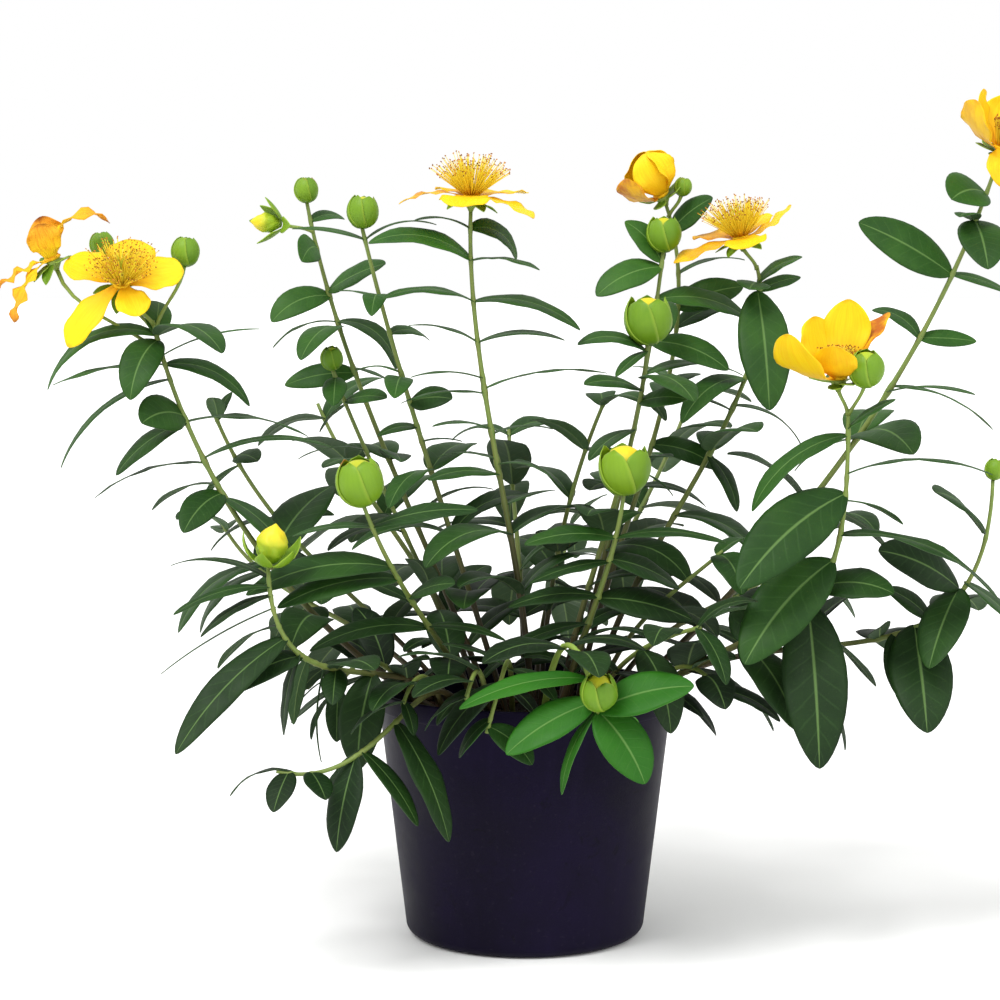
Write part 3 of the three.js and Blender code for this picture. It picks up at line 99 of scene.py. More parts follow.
# Stems from left to right and front to back. Each rises from its place in the soil along a curve
# with two guide points. Its leaf pairs lie between two shares of its length, turned by a step.
STEMS = records(
    "name foot guides tip radius pairs low high turn step size",
    ("stem_far_left", (-54, -8), ((-146, -14, 198), (-206, -40, 290)), (-231, -30, 392), 2.4, 3,
     0.14, 0.46, 20, 90, 72),
    ("stem_left_thin", (-46, 14), ((-80, 16, 200), (-165, 15, 240)), (-200, 18, 335), 1.8, 3, 0.3,
     0.7, 0, 90, 54),
    ("stem_left_tall", (-22, 18), ((-60, 20, 248), (-120, 50, 350)), (-141, 50, 467), 2, 4, 0.12,
     0.5, 0, 90, 64),
    ("stem_left_mid", (-12, -2), ((-42, 0, 245), (-79, 0, 347)), (-103, 0, 451), 2, 4, 0.1, 0.5, 10,
     80, 64),
    ("stem_left_low", (-34, 4), ((-44, 10, 200), (-100, 26, 290)), (-124, 30, 360), 1.8, 4, 0.2,
     0.7, 0, 90, 58),
    ("stem_centre", (4, -18), ((1, -19, 250), (-38, -32, 355)), (-34, -30, 461), 2.2, 3, 0.12, 0.36,
     0, 14, 66),
    ("stem_inner_right", (10, 16), ((14, 18, 230), (30, 24, 290)), (52, 30, 340), 1.8, 5, 0.25,
     0.97, 0, 70, 62),
    ("stem_right_tall", (26, 4), ((50, 4, 238), (78, 29, 336)), (89, 38, 436), 2, 4, 0.1, 0.48, 15,
     90, 64),
    ("stem_right_high", (34, 22), ((50, 24, 246), (126, 66, 366)), (92, 68, 465), 2, 4, 0.1, 0.6, 0,
     90, 64),
    ("stem_right_bud", (22, -14), ((28, -16, 210), (72, -20, 300)), (76, -20, 380), 2.2, 4, 0.1,
     0.5, 0, 80, 66),
    ("stem_front_right_bud", (20, -36), ((31, -42, 192), (55, -59, 239)), (60, -60, 290), 2.6, 2,
     0.2, 0.36, 0, 90, 62),
    ("stem_right_arch", (46, 8), ((46, 3, 229), (173, 46, 336)), (149, 38, 425), 2.2, 4, 0.16, 0.58,
     0, 90, 68),
    ("stem_right_front", (56, -22), ((160, -56, 228), (196, -92, 183)), (193, -85, 341), 2.5, 3,
     0.16, 0.46, 0, 90, 76),
    ("stem_far_right", (60, 20), ((159, 41, 231), (248, -7, 342)), (300, 20, 493), 2.5, 4, 0.18,
     0.56, 0, 90, 72),
    ("stem_right_low", (66, -2), ((144, -12, 226), (285, -54, 136)), (288, -46, 296), 2.2, 4, 0.2,
     0.72, 0, 90, 76),
    ("stem_front_left_bud", (-26, -28), ((-50, -44, 197), (-76, -104, 225)), (-98, -110, 288), 2.2,
     3, 0.14, 0.42, 0, 80, 64),
    ("stem_left_front_bud", (-48, -36), ((-66, -50, 206), (-150, -142, 150)), (-153, -120, 250),
     2.3, 3, 0.26, 0.56, 0, 90, 62),
    ("stem_left_trailing", (-34, -54), ((-62, -84, 214), (-80, -140, 114)), (-148, -134, 130), 2, 2,
     0.2, 0.46, 0, 90, 56),
    ("stem_front_bud", (10, -60), ((18, -86, 226), (34, -124, 206)), (42, -130, 162), 2.2, 2, 0.4,
     0.62, 0, 90, 58),
    ("stem_front_left_short", (-8, -44), ((-10, -78, 206), (-10, -116, 200)), (-24, -120, 150), 1.8,
     3, 0.3, 0.75, 20, 90, 62),
    ("stem_front_right_short", (38, -46), ((52, -66, 192), (84, -96, 205)), (104, -108, 212), 1.8,
     4, 0.3, 0.97, 0, 90, 62),
    ("stem_right_short", (44, -16), ((56, -24, 200), (90, -34, 220)), (122, -44, 250), 1.8, 4, 0.3,
     0.97, 0, 90, 66),
    ("stem_back_left", (-30, 40), ((-50, 60, 220), (-110, 110, 260)), (-140, 130, 330), 2.2, 5,
     0.25, 0.95, 0, 90, 70),
    ("stem_back_mid", (0, 46), ((0, 80, 220), (-6, 150, 240)), (-10, 185, 310), 2.2, 5, 0.25, 0.97,
     0, 90, 68),
    ("stem_back_right", (28, 46), ((44, 74, 220), (90, 130, 260)), (118, 160, 340), 2.2, 5, 0.25,
     0.97, 0, 90, 70),
    ("stem_back_left_low", (-56, 34), ((-100, 60, 200), (-170, 100, 190)), (-205, 118, 250), 2, 4,
     0.35, 0.97, 0, 90, 66),
    ("stem_back_right_low", (56, 42), ((92, 66, 210), (170, 110, 190)), (215, 128, 255), 2, 4, 0.35,
     0.97, 0, 90, 66),
    ("stem_back_low", (8, 68), ((12, 104, 210), (26, 180, 200)), (36, 226, 240), 2, 4, 0.4, 0.97, 0,
     90, 62),
    ("stem_rim_left", (-66, -22), ((-84, -36, 186), (-104, -56, 194)), (-116, -72, 166), 1.8, 6,
     0.25, 0.97, 20, 75, 58),
    ("stem_rim_middle", (-22, -68), ((-26, -86, 188), (-30, -112, 196)), (-36, -130, 172), 1.8, 6,
     0.25, 0.97, 0, 75, 54),
    ("stem_rim_front", (-48, -58), ((-56, -76, 182), (-66, -96, 190)), (-74, -116, 166), 1.8, 5,
     0.25, 0.97, 30, 75, 54),
    ("stem_rim_right", (66, -38), ((84, -52, 184), (104, -70, 192)), (116, -84, 168), 1.8, 6, 0.25,
     0.97, 0, 75, 58),
)

# Leaves placed one by one: share of the stem's length, tip, arch in degrees, width, and degrees by
# which the upper face turns to the front
LEAVES = {
    "stem_far_left": [
        (0.97, (-293, -56, 346), 48, 19, 25), (0.97, (-224, -92, 372), 40, 30, 0),
        (0.97, (-210, -7, 402), 30, 18, 20), (0.96, (-260, -69, 353), 34, 27, 20),
        (0.91, (-292, -28, 352), 14, 12, 10), (0.93, (-165, -26, 386), 16, 11, 0),
        (0.91, (-173, -22, 337), 36, 18, 30), (0.88, (-286, -42, 300), 32, 15, 10),
        (0.8, (-244, -56, 330), 26, 28, 55), (0.79, (-237, -66, 296), 20, 22, 20),
        (0.79, (-134, -20, 317), 22, 14, 5), (0.71, (-123, -15, 312), 26, 16, 10),
        (0.7, (-269, -23, 280), 22, 10, 0), (0.65, (-235, -10, 271), 28, 18, 0),
        (0.63, (-220, -55, 263), 24, 22, 30), (0.62, (-168, -73, 239), 22, 30, 0),
    ],
    "stem_left_tall": [
        (0.96, (-117, 60, 454), 34, 16, 20), (0.91, (-159, 33, 427), 30, 20, 60),
        (0.91, (-125, 9, 406), 16, 24, 0), (0.83, (-89, 28, 426), 10, 26, 40),
        (0.82, (-162, 32, 388), 30, 22, 40), (0.77, (-164, 60, 370), 30, 10, 0),
        (0.77, (-84, 36, 357), 46, 18, 20), (0.76, (-133, -4, 365), 30, 22, 0),
        (0.67, (-153, 28, 347), 14, 18, 55), (0.68, (-84, 48, 347), 16, 11, 10),
        (0.62, (-133, 50, 316), 30, 14, 0),
    ],
    "stem_left_mid": [
        (0.97, (-147, 6, 448), 14, 12, 10), (0.97, (-56, 12, 450), 30, 14, 0),
        (0.85, (-118, 14, 409), 14, 12, 0), (0.85, (-95, -40, 394), 40, 16, 0),
        (0.78, (-61, 16, 377), 34, 16, 20), (0.7, (-108, 4, 358), 30, 12, 0),
        (0.64, (-46, -14, 342), 16, 20, 50), (0.59, (-93, -6, 318), 22, 14, 20),
        (0.69, (-109, -30, 344), 24, 18, 10), (0.56, (-40, 4, 314), 16, 12, 0),
    ],
    "stem_centre": [
        (0.96, (-69, -20, 453), 26, 13, 0), (0.96, (-2, -40, 432), 50, 22, 35),
        (0.9, (-97, -38, 438), 34, 20, 30), (0.9, (15, -22, 423), 18, 16, 0),
        (0.82, (-90, -36, 405), 26, 18, 10), (0.82, (33, -38, 385), 28, 20, 15),
        (0.74, (-73, -21, 388), 20, 14, 0), (0.74, (24, -35, 379), 24, 18, 10),
        (0.67, (-73, -36, 357), 18, 14, 0), (0.65, (51, -22, 358), 18, 14, 0),
        (0.64, (-77, -20, 340), 18, 12, 0), (0.57, (-58, -34, 326), 22, 13, 0),
        (0.56, (17, -16, 323), 20, 13, 0), (0.51, (-54, -17, 306), 20, 12, 0),
        (0.5, (17, -35, 293), 30, 14, 0), (0.48, (-60, -51, 294), 18, 20, 10),
        (0.42, (19, -8, 284), 14, 12, 0),
    ],
    "stem_left_thin": [
        (0.97, (-198, -2, 342), 30, 12, 0), (0.97, (-188, 28, 344), 20, 9, 0),
        (0.88, (-169, -5, 302), 20, 18, 30), (0.86, (-207, 31, 274), 20, 12, 0),
    ],
    "stem_left_low": [
        (0.97, (-121, -4, 337), 14, 16, 0), (0.9, (-88, 12, 341), 16, 18, 30),
        (0.76, (-146, 31, 300), 24, 9, 0),
    ],
    "stem_right_tall": [
        (0.96, (46, 23, 405), 22, 24, 40), (0.97, (71, 59, 449), 20, 20, 50),
        (0.97, (106, 51, 410), 34, 14, 0), (0.89, (146, 47, 388), 26, 24, 30),
        (0.88, (118, 4, 382), 20, 20, 20), (0.8, (129, 15, 358), 22, 24, 35),
        (0.73, (146, 44, 352), 26, 18, 10), (0.68, (91, 42, 324), 30, 14, 0),
    ],
    "stem_right_high": [
        (0.94, (122, 56, 468), 14, 22, 55), (0.91, (105, 26, 438), 20, 18, 0),
        (0.85, (146, 90, 427), 22, 12, 0), (0.78, (143, 55, 417), 14, 24, 50),
        (0.74, (142, 79, 398), 16, 18, 20), (0.62, (116, 73, 353), 20, 14, 0),
        (0.51, (125, 36, 292), 22, 22, 35), (0.43, (118, 49, 267), 30, 18, 10),
    ],
    "stem_right_bud": [
        (0.97, (32, -34, 376), 34, 20, 25), (0.97, (45, -54, 369), 10, 12, 0),
        (0.87, (24, -30, 353), 18, 18, 25), (0.9, (75, -74, 343), 30, 28, 0),
        (0.84, (101, -44, 355), 14, 20, 40), (0.77, (39, -49, 306), 20, 18, 0),
        (0.67, (93, -9, 280), 26, 14, 0),
    ],
    "stem_right_arch": [
        (0.96, (142, 12, 410), 12, 22, 10), (0.96, (178, 34, 430), 20, 20, 20),
        (0.94, (179, 53, 417), 10, 12, 30), (0.94, (154, -2, 334), 14, 34, 0),
        (0.74, (89, 14, 325), 32, 20, 20), (0.73, (107, 45, 369), 12, 24, 40),
        (0.68, (180, 41, 304), 36, 15, 10), (0.67, (88, 53, 339), 22, 14, 0),
        (0.57, (135, 14, 268), 24, 18, 0),
    ],
    "stem_right_front": [
        (0.96, (136, -96, 279), 30, 17, 25), (0.97, (220, -96, 347), 12, 14, 20),
        (0.9, (278, -100, 301), 24, 14, 0), (0.87, (119, -116, 237), 16, 38, 45),
        (0.86, (229, -70, 269), 18, 12, 0), (0.8, (169, -50, 250), 20, 28, 20),
        (0.78, (283, -76, 225), 30, 20, 10), (0.72, (130, -116, 190), 16, 38, 40),
        (0.56, (175, -113, 127), 12, 40, 0), (0.62, (208, -111, 229), 24, 30, 30),
    ],
    "stem_far_right": [
        (0.95, (266, -8, 466), 24, 32, 40), (0.91, (286, -27, 423), 20, 30, 0),
        (0.91, (261, -33, 445), 24, 26, 0), (0.83, (209, 1, 452), 8, 31, 60),
        (0.83, (310, 25, 407), 12, 14, 30), (0.73, (221, 23, 396), 34, 18, 20),
        (0.73, (287, 15, 377), 6, 14, 50), (0.65, (300, 26, 319), 24, 14, 10),
        (0.64, (301, 5, 346), 14, 12, 0), (0.56, (178, 35, 293), 24, 16, 0),
    ],
    "stem_right_low": [
        (0.91, (247, -77, 289), 24, 36, 30), (0.87, (300, -37, 281), 14, 34, 50),
        (0.79, (215, -65, 252), 16, 32, 50), (0.79, (241, -89, 188), 14, 32, 0),
        (0.69, (227, -55, 226), 16, 18, 40), (0.81, (291, -80, 191), 20, 34, 0),
        (0.65, (243, -89, 144), 12, 40, 0), (0.6, (238, -81, 160), 12, 28, 0),
        (0.56, (238, -59, 197), 20, 18, 30),
    ],
    "stem_left_front_bud": [
        (0.97, (-223, -109, 245), 24, 12, 0), (0.97, (-202, -97, 247), 18, 20, 30),
        (0.95, (-209, -128, 223), 20, 14, 10), (0.93, (-202, -109, 221), 20, 14, 10),
        (0.9, (-220, -131, 183), 8, 12, 0), (0.85, (-198, -113, 183), 22, 16, 10),
        (0.71, (-174, -131, 175), 22, 22, 30), (0.8, (-214, -139, 145), 16, 22, 30),
        (0.73, (-157, -131, 149), 14, 14, 0), (0.69, (-146, -105, 151), 20, 12, 0),
        (0.56, (-115, -126, 168), 14, 16, 0), (0.61, (-140, -111, 126), 14, 10, 0),
        (0.65, (-179, -99, 145), 14, 10, 0),
    ],
    "stem_front_left_bud": [
        (0.91, (-29, -113, 282), 14, 18, 25), (0.91, (-140, -115, 265), 14, 13, 10),
        (0.75, (-167, -109, 230), 22, 26, 30), (0.7, (-144, -123, 223), 18, 22, 30),
        (0.61, (-43, -104, 237), 16, 20, 30), (0.46, (-13, -80, 199), 18, 16, 10),
        (0.45, (-131, -87, 193), 22, 18, 30), (0.58, (-120, -62, 237), 14, 16, 10),
    ],
    "stem_front_right_bud": [
        (0.8, (-1, -68, 256), 18, 18, 25), (0.8, (122, -68, 257), 18, 16, 15),
        (0.7, (2, -72, 233), 12, 14, 20), (0.71, (95, -46, 226), 16, 26, 30),
        (0.55, (-11, -67, 217), 18, 18, 25), (0.54, (100, -69, 207), 14, 30, 30),
        (0.43, (-16, -78, 180), 18, 18, 10),
    ],
    "stem_left_trailing": [
        (0.95, (-176, -124, 112), 36, 10, 0), (0.96, (-155, -152, 110), 14, 18, 0),
        (0.89, (-137, -158, 109), 14, 18, 0), (0.72, (-112, -141, 83), 12, 24, 0),
        (0.69, (-75, -150, 97), 14, 24, 0), (0.52, (-47, -129, 86), 14, 28, 0),
        (0.65, (-124, -115, 109), 20, 14, 0),
    ],
    "stem_front_bud": [
        (0.97, (98, -139, 181), 14, 30, 45), (0.93, (-12, -142, 141), 14, 26, 40),
        (0.97, (62, -152, 124), 16, 34, 30), (0.97, (21, -140, 117), 22, 11, 0),
        (0.95, (87, -105, 142), 14, 16, 0), (0.81, (-42, -130, 168), 18, 16, 30),
    ],
    "stem_front_left_short": [
        (0.15, (-33, -74, 132), 14, 14, 10), (0.97, (-9, -142, 132), 20, 20, 30),
        (0.94, (-40, -115, 134), 20, 16, 30),
    ],
}

# Bare stalks that leave a stem at a share of its length
STALKS = records(
    "name stem at guides tip",
    ("stalk_far_left_bloom", "stem_far_left", 0.99, ((-235, -30, 397), (-245, -28, 400)),
     (-250, -27, 409)),
    ("stalk_far_left_bud", "stem_far_left", 0.98, ((-226, -26, 402), (-214, -16, 410)),
     (-213, -12, 427)),
    ("stalk_far_left_fruit", "stem_far_left", 0.96, ((-236, -14, 396), (-266, 12, 406)),
     (-268, 18, 432)),
    ("stalk_withered", "stem_far_left", 0.93, ((-246, -26, 390), (-286, -10, 396)),
     (-294, -6, 424)),
    ("stalk_left_opening_bud", "stem_left_tall", 0.94, ((-144, 52, 450), (-150, 55, 449)),
     (-156, 56, 451)),
    ("stalk_right_high_bud", "stem_right_high", 0.97, ((96, 66, 462), (101, 65, 464)),
     (102, 64, 471)),
    ("stalk_right_bloom", "stem_right_arch", 0.99, ((148, 38, 428), (144, 39, 430)),
     (140, 39, 436)),
    ("stalk_front_right_bloom", "stem_right_front", 0.99, ((192, -85, 345), (188, -85, 347)),
     (187, -85, 353)),
    ("stalk_front_right_bud", "stem_right_front", 0.99, ((197, -88, 345), (201, -91, 350)),
     (202, -93, 357)),
    ("stalk_front_bud", "stem_front_bud", 0.98, ((42, -132, 164), (42, -134, 167)),
     (42, -135, 170)),
)

# Closed buds: what carries each, the way that it points, and its radius
BUDS = records(
    "on axis radius",
    ("stalk_far_left_bud", (0.1, 0, 1), 8.5),
    ("stalk_far_left_fruit", (-0.1, 0, 1), 7.5),
    ("stem_left_tall", (0, 0, 1), 7.5),
    ("stem_left_mid", (0.1, 0, 1), 9.5),
    ("stem_left_low", (0, -0.3, 1), 7),
    ("stem_right_tall", (0, -0.1, 1), 10.5),
    ("stalk_right_high_bud", (0.2, 0, 1), 5.5),
    ("stem_right_bud", (0, -0.1, 1), 14),
    ("stem_front_right_bud", (0, -0.1, 1), 14.5),
    ("stalk_front_right_bud", (0, -0.3, 1), 10.3),
    ("stem_front_left_bud", (-0.1, -0.2, 1), 13.5),
    ("stalk_front_bud", (0, -0.5, 1), 10.5),
    ("stem_right_low", (0.2, 0, 1), 6),
)

# Opening buds, with sepals as turn, rise, fall and length
OPENING_BUDS = records(
    "name on axis radius height sepals",
    ("bud_opening_front", "stem_left_front_bud", (0.2, -0.2, 1), 9.5, 24,
     ((185, 6, 100, 26), (255, 4, 80, 20), (320, 6, 92, 22), (30, 6, 100, 26), (110, 6, 96, 22))),
    ("bud_opening_left", "stalk_left_opening_bud", (-0.9, -0.2, 0.1), 6.5, 19,
     ((0, 30, 70, 26), (180, 10, -20, 22), (250, 30, 60, 20), (110, 40, 70, 20), (300, 40, 80, 18))),
)

# Blooms: what carries each, the way that it faces, the spread in degrees and the length of its
# brush of stamens, and its petals as turn, rise, fall, length and width
BLOOMS = records(
    "name on axis brush petals",
    ("bloom_top", "stem_centre", (0.03, -0.05, 1), (66, 27),
     ((178, 16, -34, 43, 26), (108, 16, -10, 38, 30), (36, 12, -6, 38, 30), (-24, 0, -34, 41, 32),
      (-98, 8, -26, 34, 32))),
    ("bloom_far_left", "stalk_far_left_bloom", (0.05, -0.55, 0.83), (60, 26),
     ((8, 20, 4, 36, 32), (80, 20, 10, 34, 30), (154, 16, -4, 37, 32), (226, -14, -54, 50, 24),
      (-64, 2, -26, 27, 22))),
    ("bloom_right", "stalk_right_bloom", (-0.2, -0.12, 0.95), (60, 27),
     ((-6, 6, 44, 36, 28), (62, 14, 10, 34, 28), (134, 10, 0, 34, 28), (194, -2, -14, 44, 28),
      (-88, 6, -14, 34, 28))),
    ("bloom_cupped", "stem_right_high", (-0.45, -0.3, 0.85), (12, 10),
     ((-10, 35, 150, 36, 28), (62, 35, 150, 36, 28), (130, 30, 148, 36, 26),
      (216, -4, 124, 34, 30), (-70, 32, 150, 37, 30))),
    ("bloom_front_right", "stalk_front_right_bloom", (0, -0.1, 1), (34, 18),
     ((216, -8, 88, 54, 40), (256, 16, 74, 34, 27), (30, 58, 36, 50, 17), (66, 56, 90, 48, 30),
      (130, 42, 86, 40, 30))),
    ("bloom_far_right", "stem_far_right", (0.25, -0.3, 0.95), (26, 18),
     ((20, 16, 80, 40, 30), (88, 14, 90, 40, 30), (150, 20, 96, 40, 32), (204, 2, 92, 44, 36),
      (268, 4, -66, 36, 24))),
)
WITHERED = records(
    "name on axis petals",
    ("bloom_withered", "stalk_withered", (-0.3, -0.2, 0.9),
     ((16, 86, -70, 54, 13), (206, -16, -66, 46, 18), (176, -4, -20, 38, 15),
      (90, 50, 94, 27, 22), (-80, 44, 100, 27, 22))),
)[0]

UP = np.array([0.0, 0.0, 1.0])


# Vectors and curves


def vector(values):
    return np.array(values, dtype=float)


def unit(v):
    return v * (1 / math.sqrt(v[0] * v[0] + v[1] * v[1] + v[2] * v[2]))


def turned(v, angle):
    """A vector turned about +Z."""
    cos, sin = math.cos(angle), math.sin(angle)
    return np.array([v[0] * cos - v[1] * sin, v[0] * sin + v[1] * cos, v[2]])


def point_on(curve, share):
    """Point on a cubic curve given by its four points."""
    rest = 1 - share
    weights = (rest**3, 3 * rest * rest * share, 3 * rest * share * share, share**3)
    return sum(weight * point for weight, point in zip(weights, curve))


def heading_on(curve, share):
    rest = 1 - share
    weights = (rest * rest, 2 * rest * share, share * share)
    return unit(sum(w * (b - a) for w, a, b in zip(weights, curve, curve[1:])))


def square_to(axis):
    """Two directions square to an axis: the first is nearest to +X, or to +Y on an axis along X."""
    guide = vector([0, 1, 0]) if abs(axis[0]) > 0.9 else vector([1, 0, 0])
    first = unit(guide - axis * guide.dot(axis))
    return first, np.cross(axis, first)


def seeded_draw(seed):
    """Repeatable draws between 0 and 1."""
    mask = 0xFFFFFFFF
    state = seed & mask

    def draw():
        nonlocal state
        state = (state + 0x6D2B79F5) & mask
        mixed = ((state ^ (state >> 15)) * (state | 1)) & mask
        mixed ^= (mixed + (mixed ^ (mixed >> 7)) * (mixed | 61)) & mask
        return (mixed ^ (mixed >> 14)) / 4294967296

    return draw


# Blades: leaves, petals and sepals. A blade's spine starts at the root along `out`, tilted towards
# `up` by `rise`, and bends evenly to `fall` at its tip.


def spine_of(blade):
    side = np.cross(blade["up"], blade["out"])
    shares = np.arange(SPINE_STEPS + 1) / SPINE_STEPS
    angles = blade["rise"] + (blade["fall"] - blade["rise"]) * shares
    along = np.outer(np.cos(angles), blade["out"]) + np.outer(np.sin(angles), blade["up"])
    flat = np.cross(along, side)
    across = side * math.cos(blade["roll"]) + flat * math.sin(blade["roll"])
    steps = along[:-1] * (blade["length"] / SPINE_STEPS)
    place = np.cumsum(np.vstack([blade["root"], steps]), axis=0)
    return place, across, np.cross(along, across)


def half_width(blade, shares):
    lean, fullness = blade["shape"]
    return (blade["width"] / 2) * np.maximum(0, np.sin(np.pi * shares**lean)) ** fullness


def samples_of(blade):
    """Points all over a blade, for finding its room."""
    place, side, normal = spine_of(blade)
    reach = half_width(blade, np.arange(SPINE_STEPS + 1) / SPINE_STEPS)
    rows = []
    for column in range(-SAMPLES_ACROSS, SAMPLES_ACROSS + 1):
        across = column / SAMPLES_ACROSS
        lift = blade["fold"] * abs(across) * reach
        rows.append(place + side * (across * reach)[:, None] + normal * lift[:, None])
    return np.stack(rows, axis=1).reshape(-1, 3)


# Cells of space that stems and blades hold. A cell's value is twice the owner's number, plus one
# where a blade holds it, and SHARED where two owners meet.
held = {}
NEIGHBOURS = np.array([(i, j, k) for i in (-1, 0, 1) for j in (-1, 0, 1) for k in (-1, 0, 1)])


def cell_keys(cells):
    return (cells[:, 0] + 500) * 1000000 + (cells[:, 1] + 500) * 1000 + (cells[:, 2] + 500)


def hold(points, value):
    """Gives the cells at and beside the points to an owner."""
    cells = np.floor(np.asarray(points) / CELL).astype(int)
    around = (cells[:, None, :] + NEIGHBOURS[None, :, :]).reshape(-1, 3)
    for key in np.unique(cell_keys(around)).tolist():
        old = held.get(key)
        if old is None:
            held[key] = value
        else:
            held[key] = max(old, value) if old >> 1 == value >> 1 else SHARED


def pot_radius(heights):
    """The pot's outer radius at some heights, with the rim's a little early for the leaves' sake."""
    slope = (POT_TOP_RADIUS - POT_FOOT_RADIUS) / (POT_HEIGHT - POT_RIM_DEPTH)
    under_rim = POT_FOOT_RADIUS + slope * heights
    return np.where(heights > POT_HEIGHT - POT_RIM_DEPTH - POT_CLEARANCE, POT_RIM_RADIUS, under_rim)


def is_free(points, root, owner):
    """Whether a leaf's points are clear of the floor, the pot and what others hold."""
    if (points[:, 2] < FLOOR_CLEARANCE).any():
        return False
    beside_pot = points[:, 2] < POT_HEIGHT + POT_CLEARANCE
    reach = np.hypot(points[:, 0], points[:, 1])
    if (beside_pot & (reach < pot_radius(points[:, 2]) + POT_CLEARANCE)).any():
        return False
    near = np.sqrt(((points - root) ** 2).sum(axis=1)) < ROOT_ZONE
    keys = cell_keys(np.floor(points / CELL).astype(int))
    for key, at_root in zip(keys.tolist(), near.tolist()):
        old = held.get(key)
        if old is None:
            continue
        if old >> 1 != owner:
            return False
        if not at_root and old % 2 == 1:
            return False
    return True


def settled(leaf, owner):
    """The first variant of a leaf that is clear of what is held, or nothing."""
    for lift, share in LIFTS:
        for turn in TURNS:
            variant = dict(leaf)
            variant["out"] = turned(leaf["out"], radians(turn))
            variant["rise"] = leaf["rise"] + radians(lift)
            variant["fall"] = leaf["fall"] + radians(lift)
            variant["length"] = leaf["length"] * share
            variant["width"] = leaf["width"] * share
            points = samples_of(variant)
            if is_free(points, variant["root"], owner):
                hold(points, 2 * owner + 1)
                return variant
    return None


# Stems, stalks and what they carry

STEM_CALLED = {stem["name"]: stem for stem in STEMS}
CARRIER_CALLED = {**STEM_CALLED, **{stalk["name"]: stalk for stalk in STALKS}}
OWNER_OF = {stem["name"]: number for number, stem in enumerate(STEMS, 1)}
ALL_BLOOMS = [*BLOOMS, WITHERED]


def stem_name_of(carrier):
    return CARRIER_CALLED[carrier].get("stem", carrier)


def curve_from(start, thing):
    return [start, vector(thing["guides"][0]), vector(thing["guides"][1]), vector(thing["tip"])]


def curve_of(stem):
    return curve_from(vector([*stem["foot"], SOIL_TOP + 1]), stem)


def stem_point(stem, share):
    """A point on the straight lengths between a stem's bends, where leaves and stalks start."""
    curve = curve_of(stem)
    below = min(STEM_BENDS - 1, math.floor(share * STEM_BENDS))
    start = point_on(curve, below / STEM_BENDS)
    end = point_on(curve, (below + 1) / STEM_BENDS)
    return start + (end - start) * (share * STEM_BENDS - below)


def stalk_curve(stalk):
    return curve_from(stem_point(STEM_CALLED[stalk["stem"]], stalk["at"]), stalk)


def tip_of(thing):
    return vector(CARRIER_CALLED[thing["on"]]["tip"])


def axis_of(thing):
    return unit(vector(thing["axis"]))


def bud_centre(bud):
    return tip_of(bud) + axis_of(bud) * (0.85 * bud["radius"])


def bloom_centre(bloom):
    return tip_of(bloom) + axis_of(bloom) * BLOOM_HEIGHT


def placed_leaves(stem, owner):
    """Leaves of one stem that are placed one by one. Each is an even arch from root to tip."""
    leaves = []
    for share, tip, arch, width, facing in LEAVES.get(stem["name"], []):
        root = stem_point(stem, share)
        chord = vector(tip) - root
        reach = math.sqrt(chord[0] * chord[0] + chord[1] * chord[1] + chord[2] * chord[2])
        slope = math.asin(chord[2] / reach)
        half = radians(arch)
        out = unit(vector([chord[0], chord[1], 0]))
        leaf = dict(
            root=root, out=out, up=UP, length=(reach * half) / math.sin(half),
            rise=slope + half, fall=slope - half, roll=radians(facing) * np.sign(out[0]),
            width=width, fold=LEAF_FOLD, shape=LEAF_SHAPE, share=share,
        )
        leaves.append(settled(leaf, owner))
    return [leaf for leaf in leaves if leaf]


def paired_leaves(stem, owner):
    """Leaf pairs of one stem, each pair turned from the last."""
    draw = seeded_draw(owner * 97 + 11)
    curve = curve_of(stem)
    leaves = []
    for pair in range(stem["pairs"] - 1, -1, -1):
        share = stem["low"] + ((stem["high"] - stem["low"]) * pair) / max(1, stem["pairs"] - 1)
        root = stem_point(stem, share)
        heading = heading_on(curve, share)
        first, second = square_to(heading)
        turn = radians(stem["turn"] + stem["step"] * pair + 24 * (draw() - 0.5))
        taper = 1 - 0.3 * ((share - 0.45) / 0.55) ** 2
        for opposite in (0, math.pi):
            aside = first * math.cos(turn + opposite) + second * math.sin(turn + opposite)
            lean = radians(38 + 16 * (draw() - 0.5))
            start = aside * math.cos(lean) + heading * math.sin(lean)
            rise = min(radians(58), max(radians(-50), math.asin(start[2])))
            bend = radians(62 + 40 * (draw() - 0.5))
            length = stem["size"] * taper * (0.9 + 0.2 * draw())
            roll = radians(30 * (draw() - 0.5))
            width = length * (LEAF_WIDTH_RATIO + 0.08 * (draw() - 0.5))
            leaf = dict(
                root=root, out=unit(vector([start[0], start[1], 0])), up=UP, length=length,
                rise=rise, fall=max(rise - bend, radians(-84)), roll=roll, width=width,
                fold=0.12 + 0.2 * draw(), shape=LEAF_SHAPE, share=share,
            )
            leaves.append(settled(leaf, owner))
    return [leaf for leaf in leaves if leaf]


def round_blade(thing, heart, turn, rise, fall, length, width, shape, fold):
    """A petal or sepal that starts beside the axis of what it belongs to."""
    axis = axis_of(thing)
    first, second = square_to(axis)
    out = first * math.cos(radians(turn)) + second * math.sin(radians(turn))
    return dict(
        root=heart + out * PETAL_ROOT_RADIUS, out=out, up=axis, length=length, rise=radians(rise),
        fall=radians(fall), roll=0, width=width, fold=fold, shape=shape,
    )


def petals_of(bloom):
    heart = bloom_centre(bloom)
    return [round_blade(bloom, heart, *row, PETAL_SHAPE, PETAL_FOLD) for row in bloom["petals"]]


